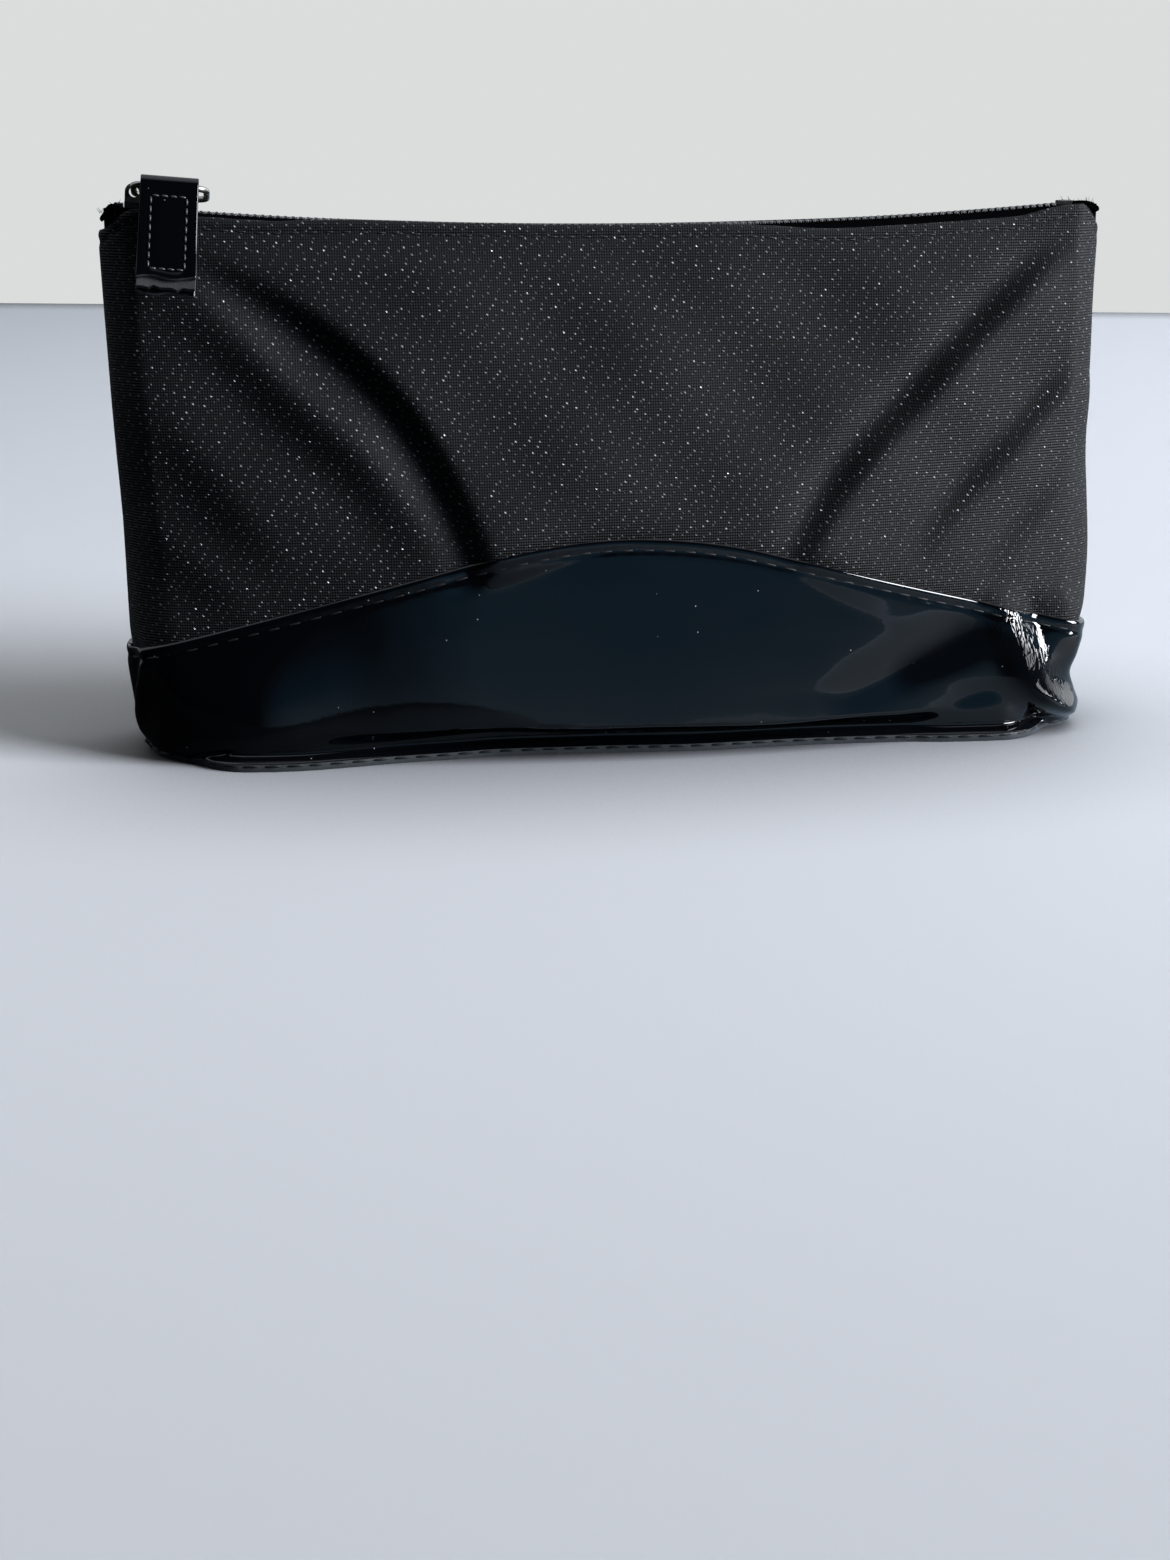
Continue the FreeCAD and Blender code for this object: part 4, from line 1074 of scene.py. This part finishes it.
def makeFiller():
    half = tab["fold"] - 0.06
    pick()
    bpy.ops.mesh.primitive_cube_add(size=1)
    filler = bpy.context.object
    filler.name = "pullTabFiller"
    reshape((bpy.ops.mesh.subdivide, {"number_cuts": 9}))
    top, bottom = -2.6, -tab["filler"]
    points = np.array([v.co for v in filler.data.vertices])
    across = points[:, 0] * (tab["width"] - 0.4)
    up = bottom + (points[:, 2] + 0.5) * (top - bottom)
    ragged = np.where(points[:, 2] < -0.49, 0.25 * np.sin(across * 2.3) + 0.15 * np.sin(across * 5.1), 0)
    out = points[:, 1] * 2 * half + tabCurl(across, up)
    x, y, z = inTab(tabFlare(across, up), out, up + ragged)
    filler.data.vertices.foreach_set("co", (np.stack([x, y, z], axis=1) * metre).ravel())
    reshape((bpy.ops.mesh.normals_make_consistent, {"inside": False}))
    finishPiece(filler, [felt], "tab", ["pull_tab_filler"])


def makeTabStitches():
    rows = []
    half = tab["width"] / 2 - tab["stitchSide"]
    for sign, length in ((1, tab["front"]), (-1, tab["back"])):
        top, bottom = tab["stitchTop"], -(length - tab["stitchFoot"])
        corners = [(-half, top), (half, top), (half, bottom), (-half, bottom), (-half, top)]
        for (x0, z0), (x1, z1) in zip(corners[:-1], corners[1:]):
            count = max(2, round(math.hypot(x1 - x0, z1 - z0) / tab["stitchPitch"]))
            across = np.linspace(x0, x1, count + 1)
            up = np.linspace(z0, z1, count + 1)
            surface = sign * (tab["fold"] + tab["leather"] + 0.02) + tabCurl(0.0, up)
            points = np.stack(inTab(across, surface, up), axis=1)
            normals = [tabFrame[1] * sign] * (count + 1)
            rows.append(stitchRow("tabRow", points, normals, tab["stitchLength"], tab["thread"]))
    finishPiece(join("pullTabStitches", rows), [glossThread], "tab", ["pull_tab_stitching"])


def makeRing():
    # the pull's ring: the CAD ring's wire, a little stouter and smooth
    source = frame["nodes"]["pull_ring"]
    ring = source.copy()
    ring.data = source.data.copy()
    ring.name = "pullRing"
    bpy.context.scene.collection.objects.link(ring)
    pick(ring)
    reshape((bpy.ops.mesh.remove_doubles, {"threshold": 0.00001}),
            (bpy.ops.transform.shrink_fatten, {"value": 0.00012}))
    bpy.ops.object.shade_smooth()
    finishPiece(ring, [nickel], "ring", ["pull_ring"])


makeRing()
makeStrap()
makeFiller()
makeTabStitches()
print("pull tab done")


# metal pieces keep their CAD shapes

for node in ("slider_body", "slider_crown", "zip_top_stops", "zip_bottom_stop"):
    piece = frame["nodes"][node]
    piece.data.materials.clear()
    piece.data.materials.append(gunmetal)


# floor, wall, lights and camera

stage = {
    "floor": "#cfd3da", "floorBounce": "#5c5f64", "mirrorDark": "#08090a", "mirrorPale": "#8797a5",
    "wall": "#dbdddc", "wallLeft": 1.93, "wallRight": 0.576, "front": -1.4, "halfWidth": 2.5, "top": 2.2,
    "black": "#020203", "navy": "#4a7796", "horizon": "#7f9cb0", "sky": "#dfe6f2", "roomFill": "#a39a8a",
}


def stagePlane(name, corners, material):
    pick()
    bpy.ops.mesh.primitive_plane_add(size=1)
    plane = bpy.context.object
    plane.name = name
    for vertex, corner in zip(plane.data.vertices, corners):
        vertex.co = corner
    plane.data.materials.append(material)


def floorBoard():
    # matt painted board with shade painted on it: a little darker towards the front; for the patent's
    # reflections its colour is painted dim, and black on the left as painted shade; it throws little light
    # on the bag
    material, tree, shader = newMaterial("floorBoard", Roughness=0.7, Specular_IOR_Level=0.1)
    split = addNode(tree, "SeparateXYZ", [addNode(tree, "TexCoord").outputs["Object"]])
    # painted shade: the board darkens towards the front
    near = addNode(tree, "MapRange", [split.outputs[1], -0.3, -0.04, 0.76, 1.0])
    pale = addNode(tree, "Mix", {0: 1.0, 6: stage["floor"], 7: near}, data_type="RGBA",
                   blend_type="MULTIPLY")
    # less of the room's light reaches the board close round the bag
    clear = addNode(tree, "AmbientOcclusion", {"Distance": 0.07}, samples=8)
    shade = addNode(tree, "Math", [clear.outputs["AO"], 1.3], operation="POWER")
    pale = addNode(tree, "Mix", {0: 1.0, 6: pale.outputs[2], 7: shade}, data_type="RGBA",
                   blend_type="MULTIPLY")
    # painted reflection: the board as the patent mirrors it, painted black on the left and dim to the right
    toRight = addNode(tree, "MapRange", [split, -0.1, 0.05])
    mirrored = addNode(tree, "Mix", {0: toRight, 6: stage["mirrorDark"], 7: stage["mirrorPale"]},
                       data_type="RGBA")
    ray = addNode(tree, "LightPath").outputs
    unseen = addNode(tree, "Mix", {
        0: ray["Is Glossy Ray"], 6: stage["floorBounce"], 7: mirrored.outputs[2],
    }, data_type="RGBA")
    colour = addNode(tree, "Mix", {0: ray["Is Camera Ray"], 6: unseen.outputs[2], 7: pale.outputs[2]},
                     data_type="RGBA")
    setInputs(shader, {"Base Color": colour.outputs[2]})
    return material


def wallBoard():
    # the same board upright; it shows its own colour whatever falls on it
    material, tree, shader = newMaterial("wallBoard", Roughness=0.7, Base_Color=stage["wall"])
    ray = addNode(tree, "LightPath").outputs
    glow = addNode(tree, "Emission", {"Color": stage["wall"], "Strength": 1.0})
    mix = addNode(tree, "MixShader", [ray["Is Camera Ray"], shader, glow])
    setInputs(tree.nodes["Material Output"], [mix])
    return material


left, right, wide = stage["wallLeft"], stage["wallRight"], stage["halfWidth"]
front, top = stage["front"], stage["top"]
stagePlane("floorStage", [(-wide, front, 0), (wide, front, 0), (-wide, left, 0), (wide, right, 0)],
           floorBoard())
stagePlane("wallStage", [(-wide, left, 0), (wide, right, 0), (-wide, left, top), (wide, right, top)],
           wallBoard())


def areaLight(name, place, aim, size, power, hexColour):
    pick()
    bpy.ops.object.light_add(type="AREA", location=place)
    lamp = bpy.context.object
    lamp.name = name
    lamp.data.shape = "RECTANGLE"
    lamp.data.size, lamp.data.size_y = size
    lamp.data.energy = power
    lamp.data.color = linearColour(hexColour)[:3]
    lamp.rotation_euler = (Vector(aim) - Vector(place)).to_track_quat("-Z", "Y").to_euler()


areaLight("windowLight", (2.45, -1.3, 1.2), (0, 0, 0.05), (1.5, 1.3), 228, "#f2f4f9")

world = bpy.data.worlds.new("room")
bpy.context.scene.world = world
world.use_nodes = True
tree = world.node_tree
direction = addNode(tree, "SeparateXYZ", [addNode(tree, "TexCoord").outputs["Generated"]]).outputs
ray = addNode(tree, "LightPath").outputs

# in front the room is a dim blue that is palest at table height, black to the left, and overhead
# and behind it is pale and lights the floor; each step mixes over the colour before it
height = addNode(tree, "MapRange", [direction[2], 0.0, 0.16])
upper = addNode(tree, "MapRange", [direction[2], 0.3, 0.5])
toRight = addNode(tree, "MapRange", [direction[0], -0.22, -0.04])
overhead = addNode(tree, "Math", [direction[2], 0.85, direction[1]], operation="MULTIPLY_ADD")
above = addNode(tree, "MapRange", [overhead, 0.3, 0.7])
sky = addNode(tree, "Mix", {0: ray["Is Diffuse Ray"], 6: stage["sky"], 7: stage["roomFill"]},
              data_type="RGBA")
room = stage["horizon"]
for share, over in (
    (height, stage["navy"]), (upper, stage["black"]), (toRight, None), (above, sky.outputs[2]),
    (ray["Is Camera Ray"], stage["wall"]),
):
    colours = {6: room, 7: over} if over else {6: stage["black"], 7: room}
    room = addNode(tree, "Mix", {0: share, **colours}, data_type="RGBA").outputs[2]
setInputs(tree.nodes["Background"], {"Color": room, "Strength": 1.0})

camera = {"place": (-0.077, -0.4635, 0.123), "down": 16.0, "turn": 8.7, "lens": 52.0}
pick()
bpy.ops.object.camera_add(location=camera["place"])
eye = bpy.context.object
eye.rotation_euler = (math.radians(90 - camera["down"]), 0, -math.radians(camera["turn"]))
eye.data.lens = camera["lens"]
eye.data.sensor_width = 36.0
eye.data.clip_start = 0.01
bpy.context.scene.camera = eye
bpy.context.scene.view_settings.view_transform = "Standard"

print("stage done")
